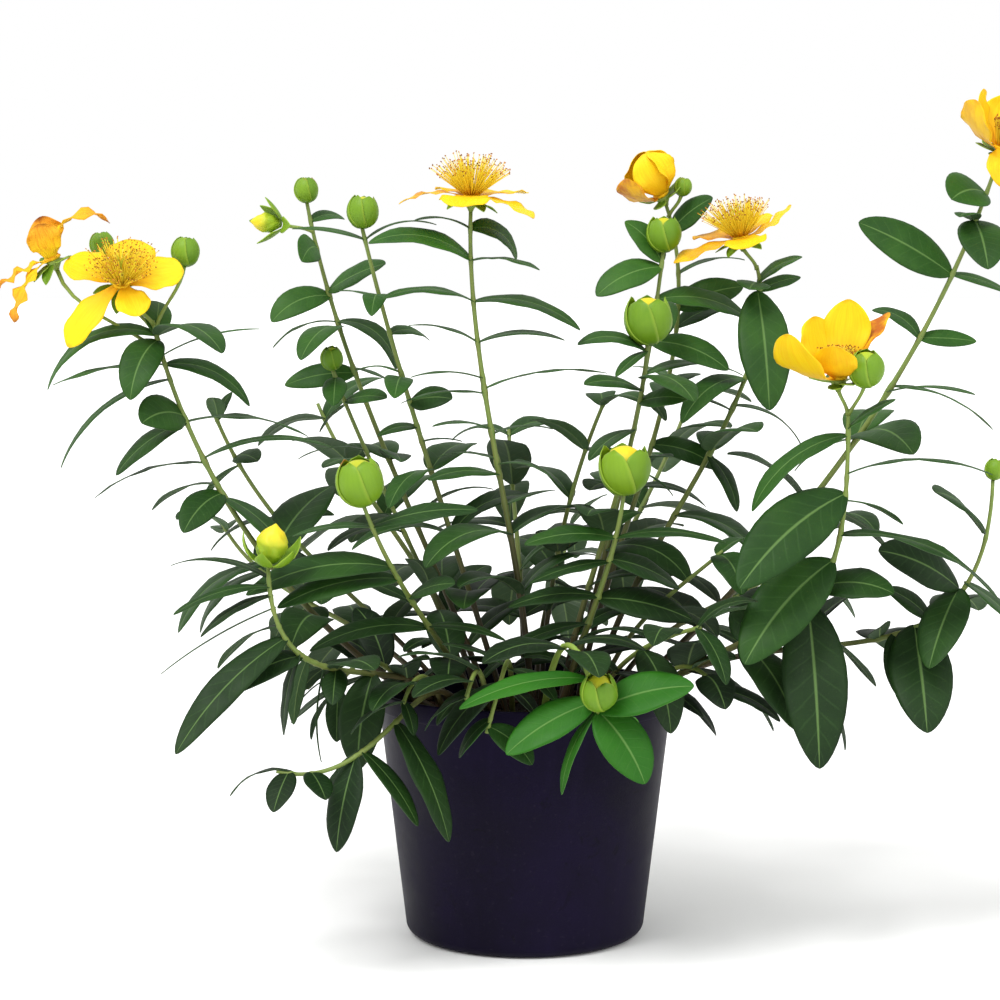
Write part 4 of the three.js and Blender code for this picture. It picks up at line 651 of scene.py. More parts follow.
def sepals_of(bloom):
    """Sepals between the petals and under them, each bent by the petals beside it."""
    heart = bloom_centre(bloom) - axis_of(bloom) * 3.4
    size = (SEPAL_LENGTH, SEPAL_WIDTH, SEPAL_SHAPE, SEPAL_FOLD)
    return [
        round_blade(bloom, heart, turn + 36, min(rise, 20) - 16, fall * 0.4 - 20, *size)
        for turn, rise, fall, _, _ in bloom["petals"]
    ]


def open_sepals_of(bud):
    foot = tip_of(bud) + axis_of(bud)
    size = (OPEN_SEPAL_WIDTH, SEPAL_SHAPE, OPEN_SEPAL_FOLD)
    return [round_blade(bud, foot, *row, *size) for row in bud["sepals"]]


def grow():
    """Leaves of each stem. Stems, buds and blooms take their room before the leaves do."""
    shares = [step / CURVE_SAMPLES for step in range(CURVE_SAMPLES + 1)]
    for stem in STEMS:
        curve = curve_of(stem)
        hold([point_on(curve, share) for share in shares], 2 * OWNER_OF[stem["name"]])
    for stalk in STALKS:
        curve = stalk_curve(stalk)
        hold([point_on(curve, share) for share in shares], 2 * OWNER_OF[stalk["stem"]])
    for bud in BUDS:
        places = [(1, 0), (-1, 0), (0, 1), (0, -1), (0, 0)]
        offsets = [vector([0.7 * x, 0.7 * y, z]) for x, y in places for z in (-0.7, 0, 0.7)]
        points = [bud_centre(bud) + bud["radius"] * offset for offset in offsets]
        hold(points, 2 * OWNER_OF[stem_name_of(bud["on"])])
    for bloom in ALL_BLOOMS:
        for blade in petals_of(bloom) + sepals_of(bloom):
            hold(samples_of(blade), 2 * OWNER_OF[stem_name_of(bloom["on"])] + 1)
    for bud in OPENING_BUDS:
        for sepal in open_sepals_of(bud):
            hold(samples_of(sepal), 2 * OWNER_OF[stem_name_of(bud["on"])] + 1)
    leaves = {stem["name"]: placed_leaves(stem, OWNER_OF[stem["name"]]) for stem in STEMS}
    for stem in STEMS:
        leaves[stem["name"]] += paired_leaves(stem, OWNER_OF[stem["name"]])
    return leaves


# Meshes


def put(name, data):
    """A new object in the scene."""
    made = bpy.data.objects.new(name, data)
    bpy.context.scene.collection.objects.link(made)
    return made


class Assembly:
    """The points and faces of one piece, gathered from its parts in millimetres.

    Each point carries a place on its part (across and along, 0 to 1) and a tone: how light its part
    is, how fresh, and a number of its own.
    """

    def __init__(self):
        self.points = []
        self.places = []
        self.tones = []
        self.faces = []
        self.slots = []
        self.smooth = []
        self.count = 0

    def add(self, points, places, faces, tone, slot=0):
        start = self.count
        self.points.append(points)
        self.places.append(places)
        self.tones.append(np.tile([*tone, 1.0], (len(points), 1)))
        self.faces += [tuple(start + corner for corner in face) for face in faces]
        self.slots += [slot] * len(faces)
        self.smooth += [True] * len(faces)
        self.count += len(points)

    def piece(self, name, materials, slot, *nodes):
        mesh = bpy.data.meshes.new(name)
        points = np.concatenate(self.points) * METRES
        mesh.from_pydata(points.tolist(), [], self.faces)
        mesh.polygons.foreach_set("material_index", self.slots)
        mesh.polygons.foreach_set("use_smooth", self.smooth)
        corners = np.empty(len(mesh.loops), dtype=np.int32)
        mesh.loops.foreach_get("vertex_index", corners)
        layer = mesh.uv_layers.new(name="place")
        layer.data.foreach_set("uv", np.concatenate(self.places)[corners].ravel())
        tone = mesh.attributes.new("tone", "FLOAT_COLOR", "POINT")
        tone.data.foreach_set("color", np.concatenate(self.tones).ravel())
        for material in materials:
            mesh.materials.append(material)
        mesh.validate()
        piece = put(name, mesh)
        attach(piece, "root")
        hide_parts(*nodes)
        return piece


def between(values, shares):
    """Rows of a spine at any shares of its length."""
    steps = np.arange(len(values)) / (len(values) - 1)
    return np.stack([np.interp(shares, steps, values[:, axis]) for axis in range(3)], axis=1)


def grid_normals(grid):
    """Unit normals of a grid of points whose rows run along and columns across."""
    along = np.gradient(grid, axis=0)
    across = np.gradient(grid, axis=1)
    normals = np.cross(along, across)
    lengths = np.linalg.norm(normals, axis=2, keepdims=True)
    return normals / np.maximum(lengths, 1e-9)


def grid_faces(rows, columns):
    """Four-sided faces between the points of a grid that is numbered row by row."""
    starts = [row * columns + column for row in range(rows - 1) for column in range(columns - 1)]
    return [(a, a + columns, a + columns + 1, a + 1) for a in starts]


def shell(assembly, grid, places, depth, tone, slots=(0, 0), rib=0.0):
    """A thin closed shell on both sides of a grid, with a rib under it, all in millimetres.

    The first material slot is for the upper side, the second for the lower side and the rim.
    """
    rows, columns, _ = grid.shape
    normals = grid_normals(grid)
    upper = (grid + normals * (depth / 2)).reshape(-1, 3)
    under = np.asarray(rib) + depth / 2
    lower = (grid - normals * np.broadcast_to(under, grid.shape[:2])[..., None]).reshape(-1, 3)
    count = rows * columns
    points = np.vstack([upper, lower])
    both = np.vstack([places, places])
    top = grid_faces(rows, columns)
    bottom = [tuple(corner + count for corner in face[::-1]) for face in top]
    rim = []
    for row in range(rows - 1):
        a = row * columns
        b = a + columns - 1
        rim.append((a, a + count, a + columns + count, a + columns))
        rim.append((b, b + columns, b + columns + count, b + count))
    for column in range(columns - 1):
        c = column
        d = (rows - 1) * columns + column
        rim.append((c, c + 1, c + 1 + count, c + count))
        rim.append((d, d + count, d + 1 + count, d + 1))
    assembly.add(points, both, top + bottom + rim, tone, slots[0])
    lower_faces = len(bottom) + len(rim)
    assembly.slots[-lower_faces:] = [slots[1]] * lower_faces
    assembly.smooth[-len(rim):] = [False] * len(rim)


def ring_of(first, second, sides, turn=0.0):
    """Ways all round from the first direction to the second and on."""
    angles = turn + 2 * np.pi * np.arange(sides) / sides
    return np.outer(np.cos(angles), first) + np.outer(np.sin(angles), second)


def add_tube(assembly, centres, radii, sides, tone, slot=0):
    """A round bar through the centres, with its ends closed."""
    centres = np.asarray(centres, dtype=float)
    headings = np.gradient(centres, axis=0)
    headings /= np.linalg.norm(headings, axis=1, keepdims=True)
    first = square_to(headings[0])[0]
    rings = []
    for centre, heading, radius in zip(centres, headings, radii):
        first = unit(first - heading * first.dot(heading))
        rings.append(centre + ring_of(first, np.cross(heading, first), sides) * radius)
    add_rings(assembly, np.array(rings), tone, slot)


def lathe_points(centre, axis, profile, sides, turn=0.0):
    """Rings of points round an axis from a profile of radius and height."""
    ring = ring_of(*square_to(axis), sides, turn)
    return np.stack([centre + axis * height + ring * radius for radius, height in profile])


def add_rings(assembly, rings, tone, slot=0):
    """A closed body from rings of points, each as long as the others."""
    count, sides, _ = rings.shape
    along = np.repeat(np.linspace(0, 1, count), sides)
    places = np.stack([np.tile(np.arange(sides) / sides, count), along], axis=1)
    faces = []
    for start in range(0, (count - 1) * sides, sides):
        for side in range(sides):
            a = start + side
            b = start + (side + 1) % sides
            faces.append((a, b, b + sides, a + sides))
    last = (count - 1) * sides
    faces.append(tuple(range(sides))[::-1])
    faces.append(tuple(range(last, last + sides)))
    assembly.add(rings.reshape(-1, 3), places, faces, tone, slot)


# Leaves, petals and sepals

LEAF_ACROSS = np.array([-1, -0.84, -0.58, -0.3, -0.09, 0, 0.09, 0.3, 0.58, 0.84, 1])
PETAL_ACROSS = np.linspace(-1, 1, 13)
LEAF_ROWS = 16
PETAL_ROWS = 20
SEPAL_ROWS = 10
LEAF_DEPTH = 0.35
PETAL_DEPTH = 0.3
SEPAL_DEPTH = 0.5
BUD_SEPAL_DEPTH = 0.45


def wave(shares, count, phase):
    return np.sin(2 * np.pi * (count * shares + phase))


def blade_grid(blade, rows, across, root_width, tip_width, droop, ripple, waves, phase, twist=0.0):
    """The middle surface of a blade: folded along its midrib, drooping and rippled to its margins."""
    shares = 0.5 - 0.5 * np.cos(np.pi * np.arange(rows + 1) / rows)
    place, side, normal = (between(values, shares) for values in spine_of(blade))
    turn = twist * shares
    side, normal = (
        side * np.cos(turn)[:, None] + normal * np.sin(turn)[:, None],
        normal * np.cos(turn)[:, None] - side * np.sin(turn)[:, None],
    )
    neck = (root_width * (1 - shares) ** 4 + tip_width) / 2
    half = np.sqrt(half_width(blade, shares) ** 2 + neck**2)
    t = across[None, :]
    reach = half[:, None]
    fold = blade["fold"] * (np.sqrt(t * t + 0.02) - 0.141)
    left = wave(shares, waves, phase)[:, None]
    right = wave(shares, waves, phase + 0.37)[:, None]
    swing = np.where(t < 0, left, right)
    wavy = ripple * swing * np.abs(t) ** 2.5
    lift = reach * (fold - droop * np.abs(t) ** 3) + wavy * (reach / np.max(half))
    grid = place[:, None, :] + side[:, None, :] * (t * reach)[..., None]
    grid = grid + normal[:, None, :] * lift[..., None]
    u, v = np.meshgrid((across + 1) / 2, shares)
    return grid, np.stack([u.ravel(), v.ravel()], axis=1)


def add_leaf(assembly, leaf, tone, draw):
    length = leaf["length"]
    grid, places = blade_grid(
        leaf, LEAF_ROWS, LEAF_ACROSS, root_width=2.2, tip_width=0.5, droop=0.1 + 0.1 * draw(),
        ripple=0.012 * length * draw(), waves=1.6 + 1.4 * draw(), phase=draw(),
        twist=radians(16 * (draw() - 0.5)),
    )
    reach = half_width(leaf, places[:, 1]).reshape(grid.shape[:2])
    offset = np.abs(places[:, 0] * 2 - 1).reshape(grid.shape[:2]) * reach
    rib = 0.55 * np.exp(-((offset / 0.9) ** 2)) * (1 - 0.7 * places[:, 1].reshape(grid.shape[:2]))
    shell(assembly, grid, places, LEAF_DEPTH, tone, (0, 1), rib)


def add_petal(assembly, petal, tone, draw, ripple):
    grid, places = blade_grid(
        petal, PETAL_ROWS, PETAL_ACROSS, root_width=4, tip_width=1.6, droop=0.06 * draw(),
        ripple=ripple, waves=2.2 + draw(), phase=draw(), twist=radians(14 * (draw() - 0.5)),
    )
    shell(assembly, grid, places, PETAL_DEPTH, tone)


def add_sepal(assembly, sepal, tone, draw):
    grid, places = blade_grid(
        sepal, SEPAL_ROWS, PETAL_ACROSS[::2], root_width=3, tip_width=0.6, droop=-0.1, ripple=0.3,
        waves=1.5, phase=draw(),
    )
    shell(assembly, grid, places, SEPAL_DEPTH, tone)


# Stems

STEM_SIDES = 10
STALK_SIDES = 8


def stem_radii(stem, shares):
    """A stem's radius along its length, with a small knot where each pair of leaves starts."""
    radii = stem["radius"] + (STEM_TIP_RADIUS - stem["radius"]) * shares
    knots = {round(leaf["share"], 2) for leaf in leaves_of[stem["name"]]}
    for knot in knots:
        radii = radii * (1 + 0.28 * np.exp(-(((shares - knot) / 0.008) ** 2)))
    return radii


def add_stem(assembly, stem, tone):
    curve = curve_of(stem)
    knots = [leaf["share"] for leaf in leaves_of[stem["name"]]]
    beside = [knot + step for knot in knots for step in (-0.01, 0, 0.01)]
    shares = np.unique(np.clip(np.round([*np.linspace(0, 1, 45), *beside], 3), 0, 1))
    centres = [curve[0] - UP * STEM_BURIED, *(point_on(curve, share) for share in shares)]
    radii = np.concatenate([[stem["radius"]], stem_radii(stem, shares)])
    add_tube(assembly, centres, radii, STEM_SIDES, tone)


def add_stalk(assembly, stalk, tone):
    curve = stalk_curve(stalk)
    shares = np.linspace(0, 1, 9)
    radii = STALK_RADIUS * (0.85 + 0.3 * np.abs(2 * shares - 1) ** 3)
    add_tube(assembly, [point_on(curve, share) for share in shares], radii, STALK_SIDES, tone)


# Buds

BUD_SEPALS = 5
BUD_SEPAL_ROWS = 12
BUD_SEPAL_COLUMNS = 11
BUD_BODY_SIDES = 40
ROLLED_SIDES = 44


def add_bud_sepal(assembly, bud, turn, tone, openness):
    """A broad sepal that wraps a round bud, one margin under its neighbour and one over."""
    axis = axis_of(bud)
    first, second = square_to(axis)
    shares = np.linspace(0, 1, BUD_SEPAL_ROWS)[:, None]
    t = np.linspace(-1, 1, BUD_SEPAL_COLUMNS)[None, :]
    low, high = radians(170), radians(24 + 40 * openness)
    polar = low + (high - low) * shares
    span = radians(52) * np.sin(np.pi * (0.16 + 0.84 * shares)) ** 0.6 + radians(3)
    azimuth = turn + t * span / np.maximum(np.sin(polar), 0.35)
    size = bud["radius"] * (1.02 + 0.045 * t + 0.06 * shares**6 + 0.35 * openness * shares**3)
    ring = np.cos(azimuth)[..., None] * first + np.sin(azimuth)[..., None] * second
    grid = (
        bud_centre(bud)
        + (size * np.cos(polar) * np.ones_like(t))[..., None] * axis * 1.06
        + (size * np.sin(polar))[..., None] * ring
    )
    u, v = np.meshgrid(np.linspace(0, 1, BUD_SEPAL_COLUMNS), shares)
    places = np.stack([u.ravel(), v.ravel()], axis=1)
    shell(assembly, grid[:, ::-1], places, BUD_SEPAL_DEPTH, tone)


def add_bud_body(assembly, bud, tone, slot):
    """Petals rolled inside a bud, with the spiral steps where one overlaps the next."""
    axis = axis_of(bud)
    polar = np.linspace(radians(176), radians(3), 22)
    size = 0.95 * bud["radius"]
    profile = [(size * math.sin(angle), size * 1.06 * math.cos(angle)) for angle in polar]
    rings = lathe_points(bud_centre(bud), axis, profile, BUD_BODY_SIDES)
    add_rings(assembly, spiralled(rings, bud_centre(bud), axis, 0.05 * size, 1.2), tone, slot)


def spiralled(rings, centre, axis, step, turns):
    """Rings moved out by a saw-toothed step that winds up round the axis."""
    count, sides, _ = rings.shape
    side_share = np.arange(sides) / sides
    out = []
    for index, ring in enumerate(rings):
        share = index / (count - 1)
        tooth = (BUD_SEPALS * (side_share + turns * share * 0.2)) % 1
        rel = ring - centre
        flat = rel - np.outer(rel @ axis, axis)
        length = np.maximum(np.linalg.norm(flat, axis=1, keepdims=True), 1e-6)
        fade = min(1, 3 * (1 - share))
        push = (step * fade * (tooth - 0.5))[:, None] * np.minimum(1, length / step)
        out.append(ring + flat / length * push)
    return np.stack(out)


def add_rolled_petals(assembly, bud, tone):
    """The petals of an opening bud, still rolled to a point."""
    axis = axis_of(bud)
    heights = np.linspace(0, 1, 26)
    widths = np.interp(heights, [0, 0.25, 0.55, 0.8, 1], [0.35, 0.85, 1, 0.6, 0.04])
    profile = list(zip(bud["radius"] * widths, 3 + bud["height"] * heights))
    rings = lathe_points(tip_of(bud), axis, profile, ROLLED_SIDES)
    add_rings(assembly, spiralled(rings, tip_of(bud), axis, 0.14 * bud["radius"], 2.2), tone)


# Blooms

STAMEN_BUNDLES = 5
STAMENS_IN_BUNDLE = 52
STYLES = 5


def bloom_way(bloom, tilt, turn):
    """A way that leans from the bloom's axis by the tilt, towards the turn."""
    axis = axis_of(bloom)
    first, second = square_to(axis)
    return axis * math.cos(tilt) + (first * math.cos(turn) + second * math.sin(turn)) * math.sin(tilt)


def bent_line(start, way, end_way, length, steps):
    """Points of a thin thread that leaves along one way and ends along another."""
    points = [start]
    for step in range(steps):
        share = (step + 0.5) / steps
        points.append(points[-1] + unit(way * (1 - share) + end_way * share) * (length / steps))
    return points


def add_stamens(threads, anthers, bloom, draw):
    """Five bundles of fine filaments that spread from the bloom's heart, each with an anther."""
    axis = axis_of(bloom)
    spread, length = radians(bloom["brush"][0]), bloom["brush"][1]
    for bundle in range(STAMEN_BUNDLES):
        middle = 2 * math.pi * (bundle + 0.5) / STAMEN_BUNDLES
        for _ in range(STAMENS_IN_BUNDLE):
            turn = middle + radians(62) * (draw() - 0.5) * (1 + draw()) / 1.5
            rank = math.sqrt(draw())
            tilt = spread * rank
            way = bloom_way(bloom, tilt, turn)
            ring = bloom_way(bloom, radians(90), turn) * (1.6 + 3.2 * rank)
            start = bloom_centre(bloom) + axis * 1.4 + ring
            reach = length * (0.6 + 0.42 * draw())
            line = bent_line(start, unit(axis * 0.3 + way), unit(way + axis * 0.12), reach, 6)
            radii = np.linspace(0.3, 0.17, len(line))
            add_tube(threads, line, radii, 4, (draw(), 0.5, draw()))
            add_anther(anthers, line[-1], unit(line[-1] - line[-2]), draw)


def add_anther(assembly, place, way, draw):
    """A small two-lobed anther across the end of its filament."""
    across = square_to(way)[0] * (draw() - 0.5) + square_to(way)[1] * (draw() - 0.5)
    axis = unit(across + way * 0.25 * draw() + 1e-3)
    size = 0.55 + 0.2 * draw()
    profile = [(0.1, -1), (0.5, -0.6), (0.6, 0), (0.5, 0.6), (0.1, 1)]
    profile = [(radius * size, height * size) for radius, height in profile]
    add_rings(assembly, lathe_points(place, axis, profile, 6), (draw(), 0.5, draw()))


def add_ovary(assembly, bloom, tone, slot):
    """The green ovary at the heart of a bloom, with its styles."""
    axis = axis_of(bloom)
    heights = np.linspace(1, 10.5, 12)
    widths = np.interp(heights, [1, 3, 6, 9, 10.5], [2.2, 3, 2.6, 1.2, 0.6])
    rings = lathe_points(bloom_centre(bloom), axis, list(zip(widths, heights)), 20)
    add_rings(assembly, spiralled(rings, bloom_centre(bloom), axis, 0.25, 0), tone, slot)
    for style in range(STYLES):
        turn = 2 * math.pi * style / STYLES
        start = bloom_centre(bloom) + axis * 9.6
        line = bent_line(start, axis, bloom_way(bloom, radians(38), turn), 0.55 * bloom["brush"][1], 6)
        add_tube(assembly, line, np.linspace(0.42, 0.3, len(line)), 5, tone, slot)


def add_calyx(assembly, bloom, tone):
    """The swelling that joins the stalk to the sepals."""
    axis = axis_of(bloom)
    profile = [(STALK_RADIUS, -9), (2.2, -7), (4.2, -4.5), (4.8, -2.6), (4.6, -1.4)]
    add_rings(assembly, lathe_points(bloom_centre(bloom), axis, profile, 18), tone)


def add_disc(assembly, bloom, tone):
    """The disc that the petals start from."""
    axis = axis_of(bloom)
    profile = [(1, -1.4), (4.6, -1.2), (DISC_RADIUS, -0.3), (DISC_RADIUS, 0.5), (4.4, 1.3), (1, 1.6)]
    add_rings(assembly, lathe_points(bloom_centre(bloom), axis, profile, 24), tone)


# Materials


class Look:
    """A material with a Principled shader and short calls for the nodes that feed it."""

    def __init__(self, name, roughness, specular=0.5, subsurface=0.0):
        self.material = bpy.data.materials.new(name)
        self.material.use_nodes = True
        self.tree = self.material.node_tree
        self.shader = self.tree.nodes["Principled BSDF"]
        self.shader.inputs["Roughness"].default_value = roughness
        self.shader.inputs["Specular IOR Level"].default_value = specular
        self.shader.inputs["Subsurface Weight"].default_value = subsurface
        self.shader.inputs["Subsurface Radius"].default_value = (1.0, 0.8, 0.3)
        self.shader.inputs["Subsurface Scale"].default_value = 0.0015

    def node(self, kind, inputs, **settings):
        made = self.tree.nodes.new("ShaderNode" + kind)
        for name, value in settings.items():
            setattr(made, name, value)
        for name, value in inputs.items():
            self.feed(made.inputs[name], value)
        return made

    def feed(self, socket, value):
        if isinstance(value, bpy.types.NodeSocket):
            self.tree.links.new(value, socket)
        else:
            socket.default_value = value

    def math(self, operation, first, second=0.0, third=0.0):
        return self.node("Math", {0: first, 1: second, 2: third}, operation=operation).outputs[0]

    def times(self, first, second):
        return self.math("MULTIPLY", first, second)

    def plus(self, first, second):
        return self.math("ADD", first, second)

    def mix(self, share, first, second):
        """A colour between two, each a node's or red, green and blue as the eye reads them."""
        first, second = (shade(*c) if isinstance(c, tuple) else c for c in (first, second))
        return self.node("Mix", {0: share, 6: first, 7: second}, data_type="RGBA").outputs[2]

    def tint(self, base, mask, share, color):
        """The base with a share of another colour where the mask is."""
        return self.mix(self.times(mask, share), base, color)

    def smooth(self, value, low, high, start=0.0, end=1.0):
        made = self.node(
            "MapRange", {0: value, 1: low, 2: high, 3: start, 4: end}, interpolation_type="SMOOTHSTEP"
        )
        return made.outputs[0]

    def noise(self, scale, detail=3.0, roughness=0.55, where=None, distortion=0.0):
        inputs = {"Scale": scale, "Detail": detail, "Roughness": roughness, "Distortion": distortion}
        inputs["Vector"] = self.position() if where is None else where
        return self.node("TexNoise", inputs).outputs["Fac"]

    def position(self):
        return self.node("TexCoord", {}).outputs["Object"]

    def place(self):
        """Place across and along the part, from 0 to 1 each."""
        where = self.node("UVMap", {}, uv_map="place").outputs[0]
        split = self.node("SeparateXYZ", {0: where})
        return split.outputs[0], split.outputs[1]

    def tone(self):
        """How light the part is, how fresh, and its own number."""
        value = self.node("Attribute", {}, attribute_name="tone").outputs["Color"]
        split = self.node("SeparateColor", {0: value})
        return split.outputs[0], split.outputs[1], split.outputs[2]

    def vector(self, x, y, z=0.0):
        return self.node("CombineXYZ", {0: x, 1: y, 2: z}).outputs[0]

    def bump(self, height, strength, distance):
        inputs = {"Height": height, "Strength": strength, "Distance": distance}
        self.feed(self.shader.inputs["Normal"], self.node("Bump", inputs).outputs[0])

    def color(self, value):
        self.feed(self.shader.inputs["Base Color"], value)
        return self.material

    def roughness(self, value):
        self.feed(self.shader.inputs["Roughness"], value)


def shade(red, green, blue):
    """A colour given as the eye reads it, 0 to 255, in the linear values that a shader takes."""
    parts = [value / 255 for value in (red, green, blue)]
    linear = [p / 12.92 if p <= 0.04045 else ((p + 0.055) / 1.055) ** 2.4 for p in parts]
    return (*linear, 1.0)


def leaf_veins(look, count):
    """Midrib and side veins of a leaf as two masks. The side veins bend forward to the margin."""
    across, along = look.place()
    offset = look.math("ABSOLUTE", look.math("MULTIPLY_ADD", across, 2.0, -1.0))
    midrib = look.smooth(offset, 0.07, 0.015)
    bend = look.times(look.math("POWER", offset, 0.8), 0.16)
    wander = look.times(look.noise(90.0, 2.0), 0.035)
    run = look.plus(look.math("SUBTRACT", along, bend), wander)
    line = look.math("PINGPONG", look.times(run, count), 0.5)
    side = look.smooth(line, 0.11, 0.015)
    fade = look.smooth(offset, 1.0, 0.55)
    return midrib, look.times(side, fade)


def leaf_upper_look():
    look = Look("leaf_upper", 0.55, specular=0.2, subsurface=0.03)
    light, fresh, _ = look.tone()
    patch = look.noise(38.0, 4.0)
    # Painted shade: the light tone makes leaves low on the plant darker, on top of a random tone for each
    # leaf
    deep = look.mix(light, (5, 16, 5), (38, 78, 22))
    bright = look.mix(light, (9, 25, 8), (54, 98, 28))
    base = look.mix(look.smooth(patch, 0.3, 0.75), deep, bright)
    young = look.mix(patch, (24, 86, 10), (50, 114, 20))
    base = look.mix(fresh, base, young)
    midrib, side = leaf_veins(look, 9.0)
    base = look.tint(base, side, 0.05, (96, 140, 74))
    base = look.tint(base, midrib, 0.4, (120, 156, 86))
    speck = look.smooth(look.noise(900.0, 2.0), 0.62, 0.74)
    base = look.tint(base, speck, 0.06, (110, 140, 80))
    height = look.plus(look.times(side, -0.35), look.times(midrib, -1.0))
    height = look.plus(height, look.times(look.noise(420.0, 3.0), 0.5))
    look.bump(height, 0.3, 0.0006)
    look.roughness(look.smooth(look.noise(70.0, 3.0), 0.2, 0.8, 0.48, 0.64))
    return look.color(base)


def leaf_under_look():
    look = Look("leaf_under", 0.68, specular=0.2, subsurface=0.04)
    light, fresh, _ = look.tone()
    patch = look.noise(46.0, 3.0)
    # Painted shade: the light tone makes leaves low on the plant darker, on top of a random tone for each
    # leaf
    base = look.mix(light, (26, 44, 28), (76, 104, 66))
    base = look.tint(base, patch, 0.3, (92, 116, 78))
    base = look.mix(fresh, base, (84, 146, 52))
    midrib, side = leaf_veins(look, 9.0)
    base = look.tint(base, side, 0.08, (120, 144, 94))
    base = look.tint(base, midrib, 0.5, (132, 156, 96))
    height = look.plus(side, look.times(look.noise(520.0, 2.0), 0.4))
    look.bump(height, 0.2, 0.0005)
    return look.color(base)


def stem_look():
    look = Look("stem", 0.52, specular=0.4)
    across, along = look.place()
    _, fresh, _ = look.tone()
    green = look.mix(look.noise(60.0, 3.0), (84, 108, 44), (122, 144, 66))
    brown = look.mix(look.noise(140.0, 4.0), (34, 32, 18), (64, 60, 30))
    base = look.mix(look.smooth(along, 0.12, 0.55), brown, green)
    base = look.mix(fresh, base, (140, 172, 70))
    where = look.vector(look.times(across, 26.0), look.times(along, 9.0))
    streak = look.noise(1.0, 3.0, where=where)
    base = look.tint(base, look.smooth(streak, 0.45, 0.7), 0.3, (150, 96, 58))
    look.bump(streak, 0.3, 0.0004)
    look.roughness(look.smooth(streak, 0.2, 0.8, 0.42, 0.62))
    return look.color(base)


def petal_look():
    look = Look("petal", 0.55, specular=0.2, subsurface=0.1)
    _, worn, own = look.tone()
    across, along = look.place()
    where = look.vector(look.times(across, 30.0), look.times(along, 2.5), own)
    grain = look.noise(1.0, 3.0, where=where)
    base = look.mix(look.smooth(along, 0.0, 0.7), (222, 158, 6), (240, 202, 14))
    base = look.tint(base, look.smooth(grain, 0.35, 0.7), 0.4, (232, 164, 6))
    base = look.tint(base, look.noise(60.0, 2.0), 0.2, (250, 220, 40))
    blotch = look.smooth(look.noise(75.0, 4.0), 0.38, 0.62)
    base = look.tint(base, worn, 0.55, (222, 136, 20))
    base = look.tint(base, worn, blotch, (168, 82, 20))
    ragged = look.plus(along, look.times(look.noise(160.0, 3.0), 0.14))
    edge = look.smooth(ragged, 1.0, 1.1)
    base = look.tint(base, edge, 0.4, (178, 100, 20))
    look.bump(grain, 0.35, 0.0005)
    look.roughness(look.smooth(grain, 0.2, 0.8, 0.48, 0.64))
    return look.color(base)


def thread_look():
    look = Look("filament", 0.55, specular=0.2)
    light, _, _ = look.tone()
    _, along = look.place()
    base = look.mix(light, (224, 186, 16), (240, 218, 52))
    base = look.tint(base, look.noise(300.0, 2.0), 0.3, (246, 232, 100))
    base = look.mix(look.smooth(along, 0.35, 0.0), base, (222, 168, 10))
    look.bump(look.noise(900.0, 2.0), 0.2, 0.0002)
    return look.color(base)


def anther_look():
    look = Look("anther", 0.75, specular=0.2)
    light, _, _ = look.tone()
    base = look.mix(light, (84, 38, 16), (196, 120, 30))
    base = look.mix(look.smooth(look.noise(1400.0, 2.0), 0.5, 0.7), base, (232, 168, 50))
    look.bump(look.noise(2500.0, 2.0), 0.5, 0.0002)
    return look.color(base)


def ovary_look():
    look = Look("ovary", 0.45, specular=0.4, subsurface=0.08)
    _, along = look.place()
    base = look.mix(look.noise(160.0, 2.0), (150, 170, 40), (206, 206, 60))
    base = look.mix(look.smooth(along, 0.6, 1.0), base, (236, 206, 70))
    look.bump(look.noise(700.0, 2.0), 0.2, 0.0003)
    return look.color(base)


def sepal_look():
    look = Look("sepal", 0.5, specular=0.3, subsurface=0.06)
    light, fresh, _ = look.tone()
    across, along = look.place()
    wander = look.times(look.noise(120.0, 2.0), 0.05)
    run = look.times(look.plus(across, wander), 7.0)
    lines = look.math("PINGPONG", run, 0.5)
    base = look.mix(light, (70, 114, 16), (114, 150, 24))
    base = look.tint(base, look.noise(90.0, 3.0), 0.5, (128, 162, 34))
    base = look.tint(base, look.smooth(lines, 0.2, 0.02), 0.08, (82, 122, 30))
    margin = look.math("ABSOLUTE", look.math("MULTIPLY_ADD", across, 2.0, -1.0))
    base = look.tint(base, look.smooth(margin, 0.8, 1.0), 0.45, (158, 182, 62))
    shadow = look.smooth(along, 0.3, 0.0)
    base = look.tint(base, shadow, 0.5, (70, 112, 26))
    blush = look.smooth(look.times(look.noise(55.0, 2.0), along), 0.4, 0.6)
    old = look.smooth(fresh, 0.35, 0.0)
    base = look.tint(base, blush, old, (150, 100, 40))
    look.bump(look.plus(lines, look.noise(600.0, 2.0)), 0.16, 0.0005)
    look.roughness(look.smooth(look.noise(80.0, 2.0), 0.2, 0.8, 0.42, 0.58))
    return look.color(base)


def bud_petal_look():
    look = Look("bud_petal", 0.5, specular=0.3, subsurface=0.08)
    _, open_share, _ = look.tone()
    across, along = look.place()
    green = look.mix(look.noise(90.0, 2.0), (128, 166, 30), (160, 188, 44))
    yellow = look.mix(look.noise(70.0, 2.0), (236, 196, 24), (228, 214, 50))
    base = look.tint(green, look.smooth(along, 0.35, 0.95), open_share, yellow)
    where = look.vector(look.times(across, 60.0), look.times(along, 4.0))
    grain = look.noise(1.0, 2.0, where=where)
    base = look.tint(base, look.smooth(grain, 0.4, 0.7), 0.1, (226, 178, 24))
    look.bump(grain, 0.25, 0.0004)
    return look.color(base)


